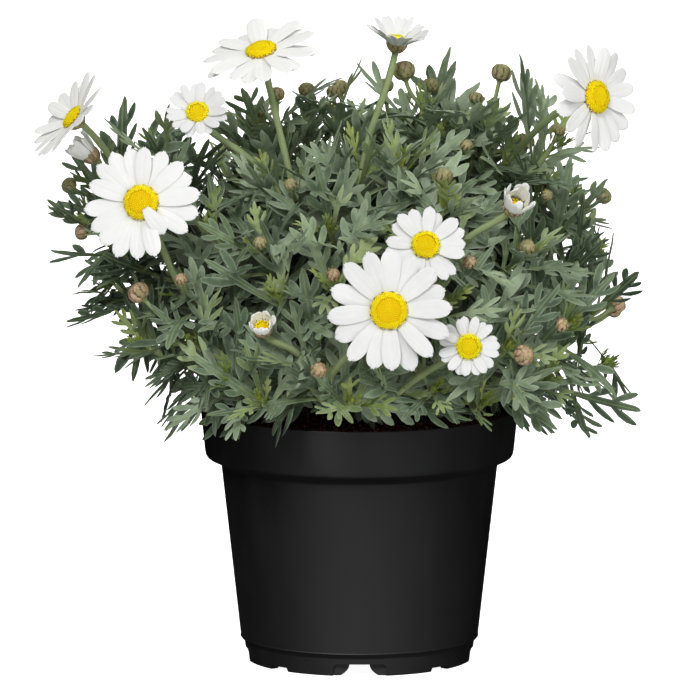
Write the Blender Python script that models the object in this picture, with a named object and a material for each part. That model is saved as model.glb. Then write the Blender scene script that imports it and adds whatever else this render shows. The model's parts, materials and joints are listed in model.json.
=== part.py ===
"""A potted marguerite daisy: a bushy plant with cut blue-green leaves and white daisies, in a black pot.

+Z is up and the pot stands on z = 0. The front is seen along +Y, a little from above. Sizes and places are
in millimetres, and MM turns them into metres where a mesh is made.
"""

import math
import random

import bmesh
import bpy
from mathutils import Vector
from mathutils.bvhtree import BVHTree

MM = 0.001
UP = Vector((0, 0, 1))

# The pot: a standard 15 cm nursery pot
RIM_RADIUS = 75.0
POT_HEIGHT = 119.5
WALL = 1.2
COLLAR_FOOT_RADIUS = 73.0
COLLAR_FOOT_HEIGHT = 100.0
SHOULDER_RADIUS = 69.8
SHOULDER_HEIGHT = 96.0
NECK_RADIUS = 65.3
NECK_HEIGHT = 93.2
BODY_RADIUS = 56.0
BODY_HEIGHT = 10.5
FOOT_RADIUS = 53.3
FOOT_TOP_RADIUS = 54.3
FOOT_HEIGHT = 8.5
FOOT_INNER_RADIUS = 48.8
FOOT_STEP_RADIUS = 51.0
FLOOR_HEIGHT = 6.0
FLOOR_THICKNESS = 1.4
POT_SIDES = 28
NOTCH_WIDTH = 25.0
NOTCH_HEIGHT = 5.8
GAP_WIDTH = 12.0
GAP_HEIGHT = 1.9
FLARE_TOP = 9.4
FLARE_BOTTOM = 18.0
DRAIN_RADIUS = 4.0
DRAIN_CIRCLE = 34.0

# The soil and the woody crown that stands in it
SOIL_EDGE_HEIGHT = 112.0
SOIL_MIDDLE_HEIGHT = 115.0
SOIL_SIDES = 20
CLEAR = 0.3
TRUNK_RADIUS = 6.0
TRUNK_FOOT = 84.0
CROWN_CENTRE = Vector((0, 0, 124))
CROWN_REACH = 20.0
STUB_RADIUS = 1.9
SIDE_SHOOT_RADIUS = 1.7
TIP_RADIUS = 1.35

# The dome that the tips of the leafy shoots lie on
VIEW_TILT = math.radians(8.5)
DOME_CENTRE = Vector((0, 0, 130))
DOME_RADII = Vector((110, 104, 118))

# Each branch's shoot tips as seen from the front: millimetres to the right of the axis, and up. The first
# one ends the main stem, and the others are its side shoots.
FRONT_BRANCHES = [
    [(-31, 221), (-43, 226), (-48, 249)],
    [(1, 229), (-12, 256), (-14, 200)],
    [(24, 197), (19, 228), (39, 211)],
    [(69, 233), (91, 242), (85, 215)],
    [(-103, 215), (-122, 223), (-92, 235)],
    [(-82, 172), (-68, 200)],
    [(-15, 130), (-28, 143), (-4, 121)],
    [(21, 128), (34, 127), (38, 164)],
    [(48, 195), (76, 190)],
    [(-46, 192)],
    [(53, 235), (38, 245), (30, 258), (60, 247)],
    [(97, 156), (122, 171), (106, 189), (99, 208)],
    [(68, 145), (84, 131), (57, 120), (114, 138)],
    [(-61, 131), (-45, 121)],
    [(-77, 148), (-100, 148)],
    [(-127, 204), (-115, 176)],
    [(-12, 174), (-37, 169)],
]
BACK_AZIMUTHS = (30, 60, 91, 121, 151)
BACK_RISES = (10, 30, 50, 69)

# Closed buds: across, up, diameter, branch, shoot
BUDS = [
    (-12, 267, 6.2, 1, 1), (-48, 258, 6.6, 0, 2), (21, 277, 9.4, 10, 1), (67, 276, 8.5, 10, 3),
    (55, 264, 5.8, 10, 0), (94, 249, 5.0, 3, 1), (-32, 222, 5.4, 0, 0), (-46, 195, 5.2, 9, 0),
    (39, 226, 7.6, 2, 2), (50, 241, 4.8, 10, 0), (-137, 223, 6.6, 4, 1), (-131, 201, 6.6, 15, 0),
    (-121, 209, 5.6, 15, 0), (-103, 172, 9.0, 14, 0), (-83, 178, 5.0, 5, 0), (-12, 180, 5.2, 16, 0),
    (-19, 136, 6.6, 6, 0), (88, 218, 4.6, 3, 2), (115, 218, 7.2, 11, 3), (78, 193, 6.6, 8, 1),
    (51, 186, 5.4, 8, 0), (94, 157, 5.4, 11, 0), (121, 167, 8.6, 11, 0), (76, 143, 8.6, 12, 0),
]
BACK_BUD_DIAMETER = 6.8
BUD_STALK_RADIUS = 0.85
BUD_PROUD = 16.0
BUD_FOOT_BACK = 1.5
BUD_FOOT_BESIDE_STALK = 10.0

# Daisies: across, up and depth of the disc's middle, azimuth and rise of the face, reach and width of a
# petal, disc radius, degrees that the petals rise off the face, petals (directions or number), branch, shoot
DAISIES = {
    "bloom_01": ((-46, 285, -20), (-117, 66), 28.0, 7.6, 7.0, 4, 17, (0, 0)),
    "bloom_02": ((17.7, 290, 6), (-60, 72), 17.5, 5.6, 5.0, 42, 14, (1, 0)),
    "bloom_03": ((110.4, 263.5, -26), (-44, 10), 26.5, 7.8, 7.5, 3,
                 (5, 24, 45, 66, 86, 108, 130, 152, 170, 190, 212, 234, 254, 276, 298, 320, 340), (3, 0)),
    "bloom_04": ((-134.2, 254, -12), (-162, 37), 25.0, 6.4, 5.6, 10, 16, (4, 0)),
    "bloom_05": ((-75.7, 256, -34), (-95, 34), 15.5, 4.9, 5.0, 24, 18, (0, 1)),
    "bloom_06": ((-101.4, 213.7, -64), (-100, 15), 27.6, 8.4, 8.0, 5,
                 (10, 29, 46, 68, 89, 105, 124, 142, 162, 188, 209, 227, 247, 268, 288, 309, 330, 350),
                 (5, 0)),
    "bloom_07": ((30.4, 193.4, -102), (-86, 30), 19.5, 6.6, 6.4, 6, 17, (2, 0)),
    "bloom_08": ((13.4, 163.3, -124), (-90, 12), 29.4, 9.4, 8.5, 3,
                 (2, 21, 42, 65, 88, 110, 133, 159, 186, 207, 231, 254, 273, 292, 313, 338), (6, 0)),
    "bloom_09": ((50.2, 146.7, -114), (-85, 12), 14.4, 4.7, 5.6, 4, 19, (7, 0)),
    "opening_01": ((-45, 155.7, -96), (-100, 14), 7.0, 3.6, 3.0, 52, 10, (6, 1)),
    "opening_02": ((71.9, 212.5, -66), (-70, 36), 8.6, 4.2, 2.6, 74, 8, (8, 0)),
    "opening_03": ((-127, 237.5, 0), (-170, 40), 13.0, 4.2, 2.8, 62, 9, (4, 1)),
}
HIDDEN_DISCS = ("opening_02", "opening_03")
STALK_RADIUS = 1.45
STALK_GAP = 0.45
PLATE_SHARE = 0.86
PETAL_WIDEST = 0.70
PETAL_FIT = 0.96
PETAL_HALF_THICKNESS = 0.4
BRACTS_TOP = 1.25
BRACTS_DEPTH = 2.6
BRACTS_DEPTH_SHARE = 0.36
DISC_GAP = 0.35
DISC_RISE_SHARE = 0.34
FLORET_RELIEF = 0.45

# Leaves: outline of the right half, from the foot to the tip, as shares of the length across and along
LEAF_OUTLINES = [
    [(0.013, 0), (0.028, 0.32), (0.225, 0.62), (0.050, 0.49), (0.185, 0.90), (0.044, 0.69), (0, 1)],
    [(0.012, 0), (0.026, 0.25), (0.185, 0.49), (0.046, 0.40), (0.225, 0.73), (0.048, 0.57), (0.155, 0.95),
     (0.040, 0.75), (0, 1)],
    [(0.022, 0), (0.045, 0.40), (0.190, 0.82), (0.060, 0.64), (0, 1)],
]
LEAF_RIDGES = [(0, 0.41, 0.60), (0, 0.33, 0.50, 0.68), (0, 0.54)]
LEFT_HALF_LAG = 0.05
LEAF_THICKNESS = 1.3
FOOT_THINNESS = 0.55
LEAVES_ON_A_SHOOT = 18
LEAF_FOOT_OFFSET = 0.35
LOWEST_LEAF_TIP = 111.0
LEAF_SPARE = 0.45
LEAVES_IN_ALL = 184
FACES_KEPT = (0.66, 0.68, 0.70, 0.75, 0.8, 0.9)
GOLDEN_TURN = 137.508


def material(name, colour, roughness, metallic=0.0):
    """A Principled material of one colour, which the preview shows too."""
    made = bpy.data.materials.new(name)
    made.use_nodes = True
    shader = made.node_tree.nodes["Principled BSDF"]
    shader.inputs["Base Color"].default_value = (*colour, 1)
    shader.inputs["Roughness"].default_value = roughness
    shader.inputs["Metallic"].default_value = metallic
    made.diffuse_color = (*colour, 1)
    return made


def add_object(name, verts, faces, look):
    """An object whose mesh is the given points, in millimetres, and faces."""
    mesh = bpy.data.meshes.new(name)
    mesh.from_pydata([v * MM for v in verts], [], faces)
    mesh.materials.append(look)
    made = bpy.data.objects.new(name, mesh)
    bpy.context.scene.collection.objects.link(made)
    return made


def keep_result(made):
    """Puts the result of an object's modifiers into its mesh."""
    graph = bpy.context.evaluated_depsgraph_get()
    result = bpy.data.meshes.new_from_object(made.evaluated_get(graph))
    made.modifiers.clear()
    made.data = result


def combine(made, others, operation, solver="EXACT"):
    """Cuts the other objects from this one, or joins them to it, in one Boolean, and removes them."""
    group = bpy.data.collections.new(made.name + "_others")
    bpy.context.scene.collection.children.link(group)
    for other in others:
        for owner in list(other.users_collection):
            owner.objects.unlink(other)
        group.objects.link(other)
    boolean = made.modifiers.new("combine", "BOOLEAN")
    boolean.operation = operation
    boolean.operand_type = "COLLECTION"
    boolean.collection = group
    boolean.solver = solver
    keep_result(made)
    for other in others:
        bpy.data.objects.remove(other)
    bpy.data.collections.remove(group)


def signed_volume(faces):
    """Six times the volume that some triangles close."""
    total = 0.0
    for face in faces:
        corners = [v.co for v in face.verts]
        for second, third in zip(corners[1:], corners[2:]):
            total += corners[0].dot(second.cross(third))
    return total


def keep_main_body(made):
    """Drops the loose scraps and the sealed hollows that joining leaves, keeping the largest body."""
    work = bmesh.new()
    work.from_mesh(made.data)
    left = set(work.faces)
    bodies = []
    while left:
        body, edge = set(), [left.pop()]
        while edge:
            face = edge.pop()
            body.add(face)
            near = {other for e in face.edges for other in e.link_faces} & left
            left -= near
            edge.extend(near)
        bodies.append(body)
    bodies.sort(key=signed_volume)
    scraps = [face for body in bodies[:-1] for face in body]
    bmesh.ops.delete(work, geom=scraps, context="FACES")
    work.to_mesh(made.data)
    work.free()


def fuse(name, pieces, look, solver="MANIFOLD"):
    """One solid from closed pieces, each points and faces, that run into each other."""
    made = add_object(name, *pieces[0], look)
    others = [add_object(f"{name}_piece", *piece, look) for piece in pieces[1:]]
    if others:
        combine(made, others, "UNION", solver)
    keep_main_body(made)
    return made


def crosses_itself(mesh):
    """Whether two faces of a mesh that share no corner meet."""
    corners = [tuple(face.vertices) for face in mesh.polygons]
    tree = BVHTree.FromPolygons([v.co / MM for v in mesh.vertices], corners)
    return any(a < b and not set(corners[a]) & set(corners[b]) for a, b in tree.overlap(tree))


def thin_out(made):
    """Takes away the faces that shape a solid least, fewer of them where the rest would cross each other."""
    full = made.data
    for share in FACES_KEPT:
        made.data = full
        thin = made.modifiers.new("thin", "DECIMATE")
        thin.ratio = share
        keep_result(made)
        if not crosses_itself(made.data):
            break


def lathe(outline, sides, turn=0.5):
    """Points and faces of a solid turned round Z, from an outline that starts and ends on the axis."""
    verts, rings = [Vector((0, 0, outline[0][1]))], []
    for radius, height in outline[1:-1]:
        rings.append(range(len(verts), len(verts) + sides))
        for i in range(sides):
            angle = math.tau * (i + turn) / sides
            verts.append(Vector((radius * math.cos(angle), radius * math.sin(angle), height)))
    verts.append(Vector((0, 0, outline[-1][1])))
    faces = []
    for i in range(sides):
        j = (i + 1) % sides
        faces.append((0, rings[0][j], rings[0][i]))
        faces.append((rings[-1][i], rings[-1][j], len(verts) - 1))
        for low, high in zip(rings, rings[1:]):
            faces.append((low[i], low[j], high[j], high[i]))
    return verts, faces


def block(width, depth, height, centre, turn):
    """Points and faces of a box turned round Z about the pot's axis."""
    cosine, sine = math.cos(turn), math.sin(turn)
    verts = []
    for z in (-0.5, 0.5):
        for x, y in ((-0.5, -0.5), (0.5, -0.5), (0.5, 0.5), (-0.5, 0.5)):
            px, py = centre[0] + x * width, centre[1] + y * depth
            verts.append(Vector((px * cosine - py * sine, px * sine + py * cosine, centre[2] + z * height)))
    faces = [(3, 2, 1, 0), (4, 5, 6, 7)]
    faces += [(i, (i + 1) % 4, (i + 1) % 4 + 4, i + 4) for i in range(4)]
    return verts, faces


def flare_cutter(turn):
    """The opening behind a notch: wide at the foot, and narrow under the floor."""
    inner, outer, low, high = 44.0, FOOT_STEP_RADIUS + 0.6, -1.0, FLOOR_HEIGHT - 0.2
    side = [(FLARE_BOTTOM / 2 + 1.5, low), (FLARE_BOTTOM / 2 - 2.6, 1.8), (FLARE_TOP / 2 + 0.5, 4.0),
            (FLARE_TOP / 2, high)]
    outline = [Vector((x, 0, z)) for x, z in side] + [Vector((-x, 0, z)) for x, z in reversed(side)]
    cosine, sine = math.cos(turn), math.sin(turn)
    verts = []
    for y in (-outer, -inner):
        verts += [Vector((p.x * cosine - y * sine, p.x * sine + y * cosine, p.z)) for p in outline]
    count = len(outline)
    faces = [tuple(range(count)), tuple(reversed(range(count, 2 * count)))]
    faces += [((i + 1) % count, i, i + count, (i + 1) % count + count) for i in range(count)]
    return verts, faces


def build_pot(look):
    """One moulded shell: foot ring with notches and gaps, floor with drain holes, wall, step and collar."""
    inner_neck = NECK_RADIUS - WALL
    outline = [
        (0, FLOOR_HEIGHT), (FOOT_INNER_RADIUS, FLOOR_HEIGHT), (FOOT_INNER_RADIUS, 0), (FOOT_RADIUS, 0),
        (FOOT_TOP_RADIUS, FOOT_HEIGHT), (BODY_RADIUS, BODY_HEIGHT), (NECK_RADIUS, NECK_HEIGHT),
        (SHOULDER_RADIUS, SHOULDER_HEIGHT), (COLLAR_FOOT_RADIUS - 0.9, SHOULDER_HEIGHT + 1.3),
        (COLLAR_FOOT_RADIUS, COLLAR_FOOT_HEIGHT), (RIM_RADIUS, POT_HEIGHT), (RIM_RADIUS - WALL, POT_HEIGHT),
        (COLLAR_FOOT_RADIUS - WALL, COLLAR_FOOT_HEIGHT + 0.4), (SHOULDER_RADIUS - 0.8, SHOULDER_HEIGHT + 1.4),
        (inner_neck, NECK_HEIGHT + 1.4), (BODY_RADIUS - WALL, BODY_HEIGHT),
        (FOOT_TOP_RADIUS - 1.6, FLOOR_HEIGHT + FLOOR_THICKNESS), (0, FLOOR_HEIGHT + FLOOR_THICKNESS),
    ]
    pot = add_object("pot", *lathe(outline, POT_SIDES), look)
    cutters = []
    ring_middle = (FOOT_STEP_RADIUS + FOOT_RADIUS + 3) / 2
    ring_depth = FOOT_RADIUS + 3 - FOOT_STEP_RADIUS
    for quarter in range(4):
        turn = quarter * math.pi / 2
        notch_centre = (0, -ring_middle, NOTCH_HEIGHT / 2 - 1)
        notch = block(NOTCH_WIDTH, ring_depth, NOTCH_HEIGHT + 2, notch_centre, turn)
        gap = block(GAP_WIDTH, 14, GAP_HEIGHT + 2, (0, -51.0, GAP_HEIGHT / 2 - 1), turn + math.pi / 4)
        drain = lathe([(0, 4), (DRAIN_RADIUS, 4), (DRAIN_RADIUS, 10), (0, 10)], 12)
        angle = turn + math.pi / 4
        offset = Vector((math.cos(angle), math.sin(angle), 0)) * DRAIN_CIRCLE
        drain = ([v + offset for v in drain[0]], drain[1])
        for shape in (notch, gap, flare_cutter(turn), drain):
            cutters.append(add_object("cutter", *shape, look))
    combine(pot, cutters, "DIFFERENCE")
    return pot


def build_soil(look):
    """The plug of peat that fills the pot, a little domed, with a plain hole for the trunk."""
    inset = WALL + CLEAR + 0.25
    top = [(1.0, 0.0), (0.80, 0.55), (0.52, 0.85), (0.25, 1.0)]
    collar_lean = (RIM_RADIUS - COLLAR_FOOT_RADIUS) / (POT_HEIGHT - COLLAR_FOOT_HEIGHT)
    edge = COLLAR_FOOT_RADIUS + (SOIL_EDGE_HEIGHT - COLLAR_FOOT_HEIGHT) * collar_lean - inset - 0.5
    foot = FLOOR_HEIGHT + FLOOR_THICKNESS + CLEAR
    outline = [
        (0, foot), (FOOT_TOP_RADIUS - inset - 0.6, foot),
        (BODY_RADIUS - inset, BODY_HEIGHT + 0.6), (NECK_RADIUS - inset, NECK_HEIGHT + 1.8),
        (SHOULDER_RADIUS - inset, SHOULDER_HEIGHT + 2.6),
    ]
    rise = SOIL_MIDDLE_HEIGHT - SOIL_EDGE_HEIGHT
    outline += [(edge * share, SOIL_EDGE_HEIGHT + rise * lift) for share, lift in top]
    outline.append((0, SOIL_MIDDLE_HEIGHT))
    soil = add_object("soil", *lathe(outline, SOIL_SIDES), look)
    hole_radius = TRUNK_RADIUS + CLEAR + 0.1
    hole_foot = TRUNK_FOOT - CLEAR
    hole = lathe([(0, hole_foot), (hole_radius, hole_foot), (hole_radius, 125), (0, 125)], 10)
    combine(soil, [add_object("hole", *hole, look)], "DIFFERENCE")
    return soil


def across_axes(direction, hint=UP):
    """Two directions square to the given one and to each other."""
    side = direction.cross(hint)
    if side.length < 0.05:
        side = direction.cross(Vector((1, 0, 0)))
    side.normalize()
    return side, side.cross(direction)


def route(start, start_way, end, end_way, pull=0.36, count=24):
    """Points along a smooth curve that leaves and arrives in the given directions."""
    reach = (end - start).length * pull
    a, b = start + start_way * reach, end - end_way * reach
    points = []
    for i in range(count + 1):
        t = i / count
        s = 1 - t
        points.append(start * s**3 + a * (3 * s * s * t) + b * (3 * s * t * t) + end * t**3)
    return points


def on_route(points, from_end):
    """The place and the direction at a distance back from a route's end."""
    for i in range(len(points) - 1, 0, -1):
        step = points[i] - points[i - 1]
        if from_end <= step.length or i == 1:
            way = step.normalized()
            return points[i] - way * min(from_end, step.length), way
        from_end -= step.length


def tube(points, radii, sides, stagger=False, ends=(None, None)):
    """Points and triangles of a closed tube along some points, with its own radius at each.

    ends are the directions that its two end faces are square to, where the points alone don't give them.
    """
    verts, rings = [], []
    side = None
    for i, point in enumerate(points):
        way = (points[min(i + 1, len(points) - 1)] - points[max(i - 1, 0)]).normalized()
        if i == 0 and ends[0]:
            way = ends[0]
        if i == len(points) - 1 and ends[1]:
            way = ends[1]
        if side is None:
            side = across_axes(way)[0]
        side = (side - way * side.dot(way)).normalized()
        other = way.cross(side)
        rings.append(range(len(verts), len(verts) + sides))
        shift = 0.5 * (i % 2) if stagger else 0
        for k in range(sides):
            angle = math.tau * (k + shift) / sides
            verts.append(point + (side * math.cos(angle) + other * math.sin(angle)) * radii[i])
    faces = [tuple(reversed(rings[0])), tuple(rings[-1])]
    for i, (low, high) in enumerate(zip(rings, rings[1:])):
        lean = stagger and i % 2
        for k in range(sides):
            n = (k + 1) % sides
            if lean:
                faces += [(low[k], low[n], high[n]), (low[k], high[n], high[k])]
            else:
                faces += [(low[k], low[n], high[k]), (low[n], high[n], high[k])]
    return verts, faces


def on_dome(across, up, proud=0.0):
    """The place on the dome, or outside it, that the front shows at these millimetres across and up."""
    view = Vector((0, math.cos(VIEW_TILT), -math.sin(VIEW_TILT)))
    radii = DOME_RADII + Vector((proud, proud, proud))
    start = in_view(across, up, 0)
    scaled = Vector([(start - DOME_CENTRE)[i] / radii[i] for i in range(3)])
    way = Vector([view[i] / radii[i] for i in range(3)])
    a, b, c = way.dot(way), 2 * scaled.dot(way), scaled.dot(scaled) - 1
    inside = b * b - 4 * a * c
    return start + view * (-(b + math.sqrt(max(inside, 0))) / (2 * a))


def in_view(across, up, depth):
    """The place at a depth along Y that the front shows at these millimetres across and up."""
    return Vector((across, depth, (up - depth * math.sin(VIEW_TILT)) / math.cos(VIEW_TILT)))


def direction(azimuth, rise):
    """A unit direction from two angles in degrees."""
    a, b = math.radians(azimuth), math.radians(rise)
    return Vector((math.cos(a) * math.cos(b), math.sin(a) * math.cos(b), math.sin(b)))


def shoot_tips():
    """The tips of every branch's shoots: the front ones as seen, the back ones in rows over the dome."""
    branches = [[on_dome(*tip) for tip in tips] for tips in FRONT_BRANCHES]
    for azimuth in BACK_AZIMUTHS:
        tips = []
        for row, rise in enumerate(BACK_RISES):
            draw = random.Random(azimuth * 10 + row)
            turn = (9 if row % 2 else -9) + draw.uniform(-4, 4)
            way = direction(azimuth + turn, rise + draw.uniform(-3, 3))
            tips.append(DOME_CENTRE + Vector([way[i] * DOME_RADII[i] for i in range(3)]))
        branches.append([tips[1], tips[0], tips[2], tips[3]])
    return branches


def tip_way(tip):
    """The direction in which a shoot ends: out of the dome, and more upright, the lowest ones most."""
    out = tip - DOME_CENTRE
    out = Vector([out[i] / DOME_RADII[i] for i in range(3)])
    return (out + UP * (0.75 - 0.4 * min(1.0, max(0.0, out.z)))).normalized()


def shoot_ways(branches):
    """The directions in which the shoots end: one that bears a daisy leans towards it."""
    ways = [[tip_way(tip) for tip in tips] for tips in branches]
    for place, *_, (branch, shoot) in DAISIES.values():
        lean = (in_view(*place) - branches[branch][shoot]).normalized()
        ways[branch][shoot] = (ways[branch][shoot] + lean * 1.6).normalized()
    return ways


def branch_routes(tips, ways):
    """The routes of a branch's main stem, from the end of its stub on the crown, and of its side shoots."""
    aim = (sum(tips, Vector()) / len(tips) - CROWN_CENTRE).normalized()
    aim = (aim + UP * 0.18).normalized()
    start = CROWN_CENTRE + aim * (CROWN_REACH + CLEAR)
    main = route(start, aim, tips[0], ways[0])
    routes = [main]
    length = (tips[0] - start).length
    for k, tip in enumerate(tips[1:]):
        fork, way = on_route(main, length * (0.62 - 0.10 * k))
        routes.append(route(fork, (way * 2 + (tip - fork).normalized()).normalized(), tip, ways[k + 1]))
    return routes, aim


def plan_leaves(shoot, points, bears_stalk):
    """Where a shoot's leaves stand: the youngest at its tip, small, and each next one a golden turn on.

    One whose tip would hang below the pot's rim turns to the other side of the shoot, or is left out.
    """
    draw = random.Random(7000 + shoot)
    plans = []
    for k in range(LEAVES_ON_A_SHOOT):
        age = k / (LEAVES_ON_A_SHOOT - 1)
        back = (5.0 if bears_stalk else 2.0) + 2.1 * k + 0.075 * k * k
        place, way = on_route(points, back)
        side, other = across_axes(way)
        turn = math.radians(shoot * 41 + k * GOLDEN_TURN + draw.uniform(-9, 9))
        outward = side * math.cos(turn) + other * math.sin(turn)
        spread = math.radians(22 + 50 * age**0.6 + draw.uniform(-8, 8) + (8 if bears_stalk else 0))
        length = 15 + 28 * min(1.0, age * 2.1) ** 0.8 + draw.uniform(-3, 4)
        kind = 2 if length < 24 else (1 if draw.random() < 0.35 else 0)
        arch = math.radians(draw.uniform(-12, 42)) * length / 40
        twist = math.radians(draw.uniform(-22, 22))
        curl = draw.uniform(-0.006, 0.020)
        for out in (outward, -outward):
            plan = {
                "place": place + out * LEAF_FOOT_OFFSET,
                "way": way * math.cos(spread) + out * math.sin(spread),
                "face": way * math.sin(spread) - out * math.cos(spread),
                "length": length * (1.1 if kind == 1 else 1.0),
                "kind": kind,
                "arch": arch,
                "twist": twist,
                "curl": curl,
            }
            if bend_point(plan, 0, plan["length"], 0).z > LOWEST_LEAF_TIP:
                plans.append(plan)
                break
    return plans


def bend_point(plan, across, along, height):
    """A point of a leaf's flat outline, in millimetres, on the arched and twisted leaf in its place."""
    angle = plan["arch"] * along / plan["length"]
    if abs(plan["arch"]) > 0.01:
        radius = plan["length"] / plan["arch"]
        run, rise = radius * math.sin(angle), -radius * (1 - math.cos(angle))
    else:
        run, rise = along, 0.0
    side = plan["way"].cross(plan["face"])
    face = plan["way"] * math.sin(angle) + plan["face"] * math.cos(angle)
    twist = plan["twist"] * along / plan["length"]
    edge = side * math.cos(twist) + face * math.sin(twist)
    face = face * math.cos(twist) - side * math.sin(twist)
    lift = height + plan["curl"] * across * across
    return plan["place"] + plan["way"] * run + plan["face"] * rise + edge * across + face * lift


def blade(outline, ridge, thickness, place):
    """Points and triangles of a closed blade: both faces share the outline, and each has a middle ridge.

    outline is the right half: the foot, where the lobes begin, each lobe's tip and the notch after it, and
    the tip. ridge gives how far along its foot lies and its crest between each pair of lobes, and place puts
    a flat point, across, along and height, where it belongs. The left half lags behind the right one.
    """
    right = outline[:-1]
    verts, half = [], thickness / 2
    verts += [place(x, y, 0) for x, y in right]
    verts += [place(-x, y * (1 - LEFT_HALF_LAG), 0) for x, y in right]
    verts.append(place(*outline[-1], 0))
    count, tip = len(right), 2 * len(right)
    tops = [tip + 1 + i for i in range(len(ridge))]
    heights = [half * FOOT_THINNESS] + [half] * (len(ridge) - 1)
    verts += [place(0, y, height) for y, height in zip(ridge, heights)]
    bottoms = [tops[-1] + 1 + i for i in range(len(ridge))]
    verts += [place(0, y, -height) for y, height in zip(ridge, heights)]
    faces = []
    for start, side in ((0, 1), (count, -1)):
        edge = list(range(start, start + count)) + [tip]
        for crests, turn in ((tops, side), (bottoms, -side)):
            half_faces = [(crests[0], edge[0], edge[1]), (crests[0], edge[1], crests[1])]
            for lobe, crest in enumerate(crests[1:]):
                before, end, after = edge[1 + 2 * lobe:4 + 2 * lobe]
                half_faces += [(before, end, crest), (crest, end, after)]
                if lobe < len(crests) - 2:
                    half_faces.append((crest, after, crests[lobe + 2]))
            half_faces.append((crests[-1], edge[-2], tip))
            faces += [face[::turn] for face in half_faces]
    faces += [(0, tops[0], bottoms[0]), (count, bottoms[0], tops[0])]
    return verts, faces


def leaf_mesh(plan, spare=0.0):
    """A leaf's points and triangles, with some spare all round where the room for it is tested."""
    length = plan["length"]
    outline = [(x * length + (spare if x else 0), y * length) for x, y in LEAF_OUTLINES[plan["kind"]]]
    outline[-1] = (0, length + spare)
    ridge = [share * length for share in LEAF_RIDGES[plan["kind"]]]

    def place(across, along, height):
        return bend_point(plan, across, along, height)

    return blade(outline, ridge, LEAF_THICKNESS + 2 * spare, place)


def stem_mesh(points, base_radius, tip_radius, sides, bands):
    """A stem as a tube with few sides along its route."""
    picks = [points[round(i * (len(points) - 1) / bands)] for i in range(bands + 1)]
    radii = [base_radius + (tip_radius - base_radius) * i / bands for i in range(bands + 1)]
    ends = ((points[1] - points[0]).normalized(), (points[-1] - points[-2]).normalized())
    return tube(picks, radii, sides, ends=ends)


def bud_mesh(foot, foot_way, centre, diameter):
    """A closed bud on its stalk: one tube that swells into a round head whose facets stand for its bracts."""
    radius = diameter / 2
    way = ((centre - foot).normalized() + foot_way * 0.5 + UP * 0.2).normalized()
    neck = centre - way * radius * 0.95
    stalk = [foot, neck]
    rings = [(-0.52, 0.84), (0.22, 1.0), (0.90, 0.46)]
    points = stalk + [centre + way * radius * along for along, _ in rings]
    stalk_radii = [BUD_STALK_RADIUS, BUD_STALK_RADIUS + 0.1]
    return tube(points, stalk_radii + [radius * share for _, share in rings], 5, True)


def turned_to(shape, centre, axes):
    """A shape made round Z, moved so that Z is the third given axis and its origin the given centre."""
    verts, faces = shape
    return [centre + axes[0] * v.x + axes[1] * v.y + axes[2] * v.z for v in verts], faces


def triangles(shape):
    """The same solid with each face of four corners split, so that both sides of a thin wall stay apart."""
    verts, faces = shape
    split = []
    for face in faces:
        split += [(face[0], face[i], face[i + 1]) for i in range(1, len(face) - 1)]
    return verts, split


def face_axes(way):
    """Right and up on a daisy's face, and the way that it faces."""
    right = UP.cross(way).normalized()
    return right, way.cross(right), way


def petal_points(number, angle, room, reach, width, disc, cup, centre, axes, seed):
    """The outer points of a ray floret: two at its widest, its ridge above and below, two at its blunt end.

    room is the angle to the next floret on the right and on the left, half of which it may fill.
    """
    draw = random.Random(seed * 100 + number)
    length = reach * draw.uniform(0.95, 1.04) - disc * PLATE_SHARE
    rise = math.radians(cup + draw.uniform(-4, 4))
    droop = math.radians(draw.uniform(4, 16))
    out = axes[0] * math.cos(angle) + axes[1] * math.sin(angle)
    way = out * math.cos(rise) + axes[2] * math.sin(rise)
    face = axes[2] * math.cos(rise) - out * math.sin(rise)
    side = way.cross(face)
    start = centre + out * disc * PLATE_SHARE
    widest = disc * PLATE_SHARE + length * PETAL_WIDEST * math.cos(rise)
    right, left = (min(width / 2, PETAL_FIT * widest * math.tan(gap / 2)) for gap in room)
    flat = [(right, PETAL_WIDEST, 0), (-left, PETAL_WIDEST, 0), (0, 0.60, PETAL_HALF_THICKNESS),
            (0, 0.60, -PETAL_HALF_THICKNESS), (right * 0.55, 1, 0), (-left * 0.55, 1, 0)]
    points = []
    for across, share, height in flat:
        along = share * length
        sag = -math.sin(droop) * along * along / (2 * length)
        points.append(start + way * along + side * across + face * (height + sag))
    return points


def petal_ring(angles, reach, width, disc, cup, centre, axes, seed):
    """All the ray florets of a daisy: each grows from one side of the flat plate under the disc."""
    count = len(angles)
    between = []
    for i, angle in enumerate(angles):
        after = angles[(i + 1) % count] + (math.tau if i == count - 1 else 0)
        between.append((angle + after) / 2)
    verts = []
    for height in (PETAL_HALF_THICKNESS, -PETAL_HALF_THICKNESS):
        for angle in between:
            out = axes[0] * math.cos(angle) + axes[1] * math.sin(angle)
            verts.append(centre + out * disc * PLATE_SHARE + axes[2] * height)
    faces = [tuple(range(count)), tuple(reversed(range(count, 2 * count)))]
    for i, angle in enumerate(angles):
        before, after = (i - 1) % count, i
        low_before, low_after = before + count, after + count
        right, left, top, bottom, right_end, left_end = range(len(verts), len(verts) + 6)
        room = [2 * (side % math.tau) for side in (angle - between[i - 1], between[i] - angle)]
        verts += petal_points(i, angle, room, reach, width, disc, cup, centre, axes, seed)
        faces += [
            (before, top, after), (before, right, top), (after, top, left),
            (top, right, right_end), (top, right_end, left_end), (top, left_end, left),
            (low_before, low_after, bottom), (low_before, bottom, right), (low_after, left, bottom),
            (bottom, right_end, right), (bottom, left_end, right_end), (bottom, left, left_end),
            (before, low_before, right), (after, left, low_after),
        ]
    return verts, faces


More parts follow.
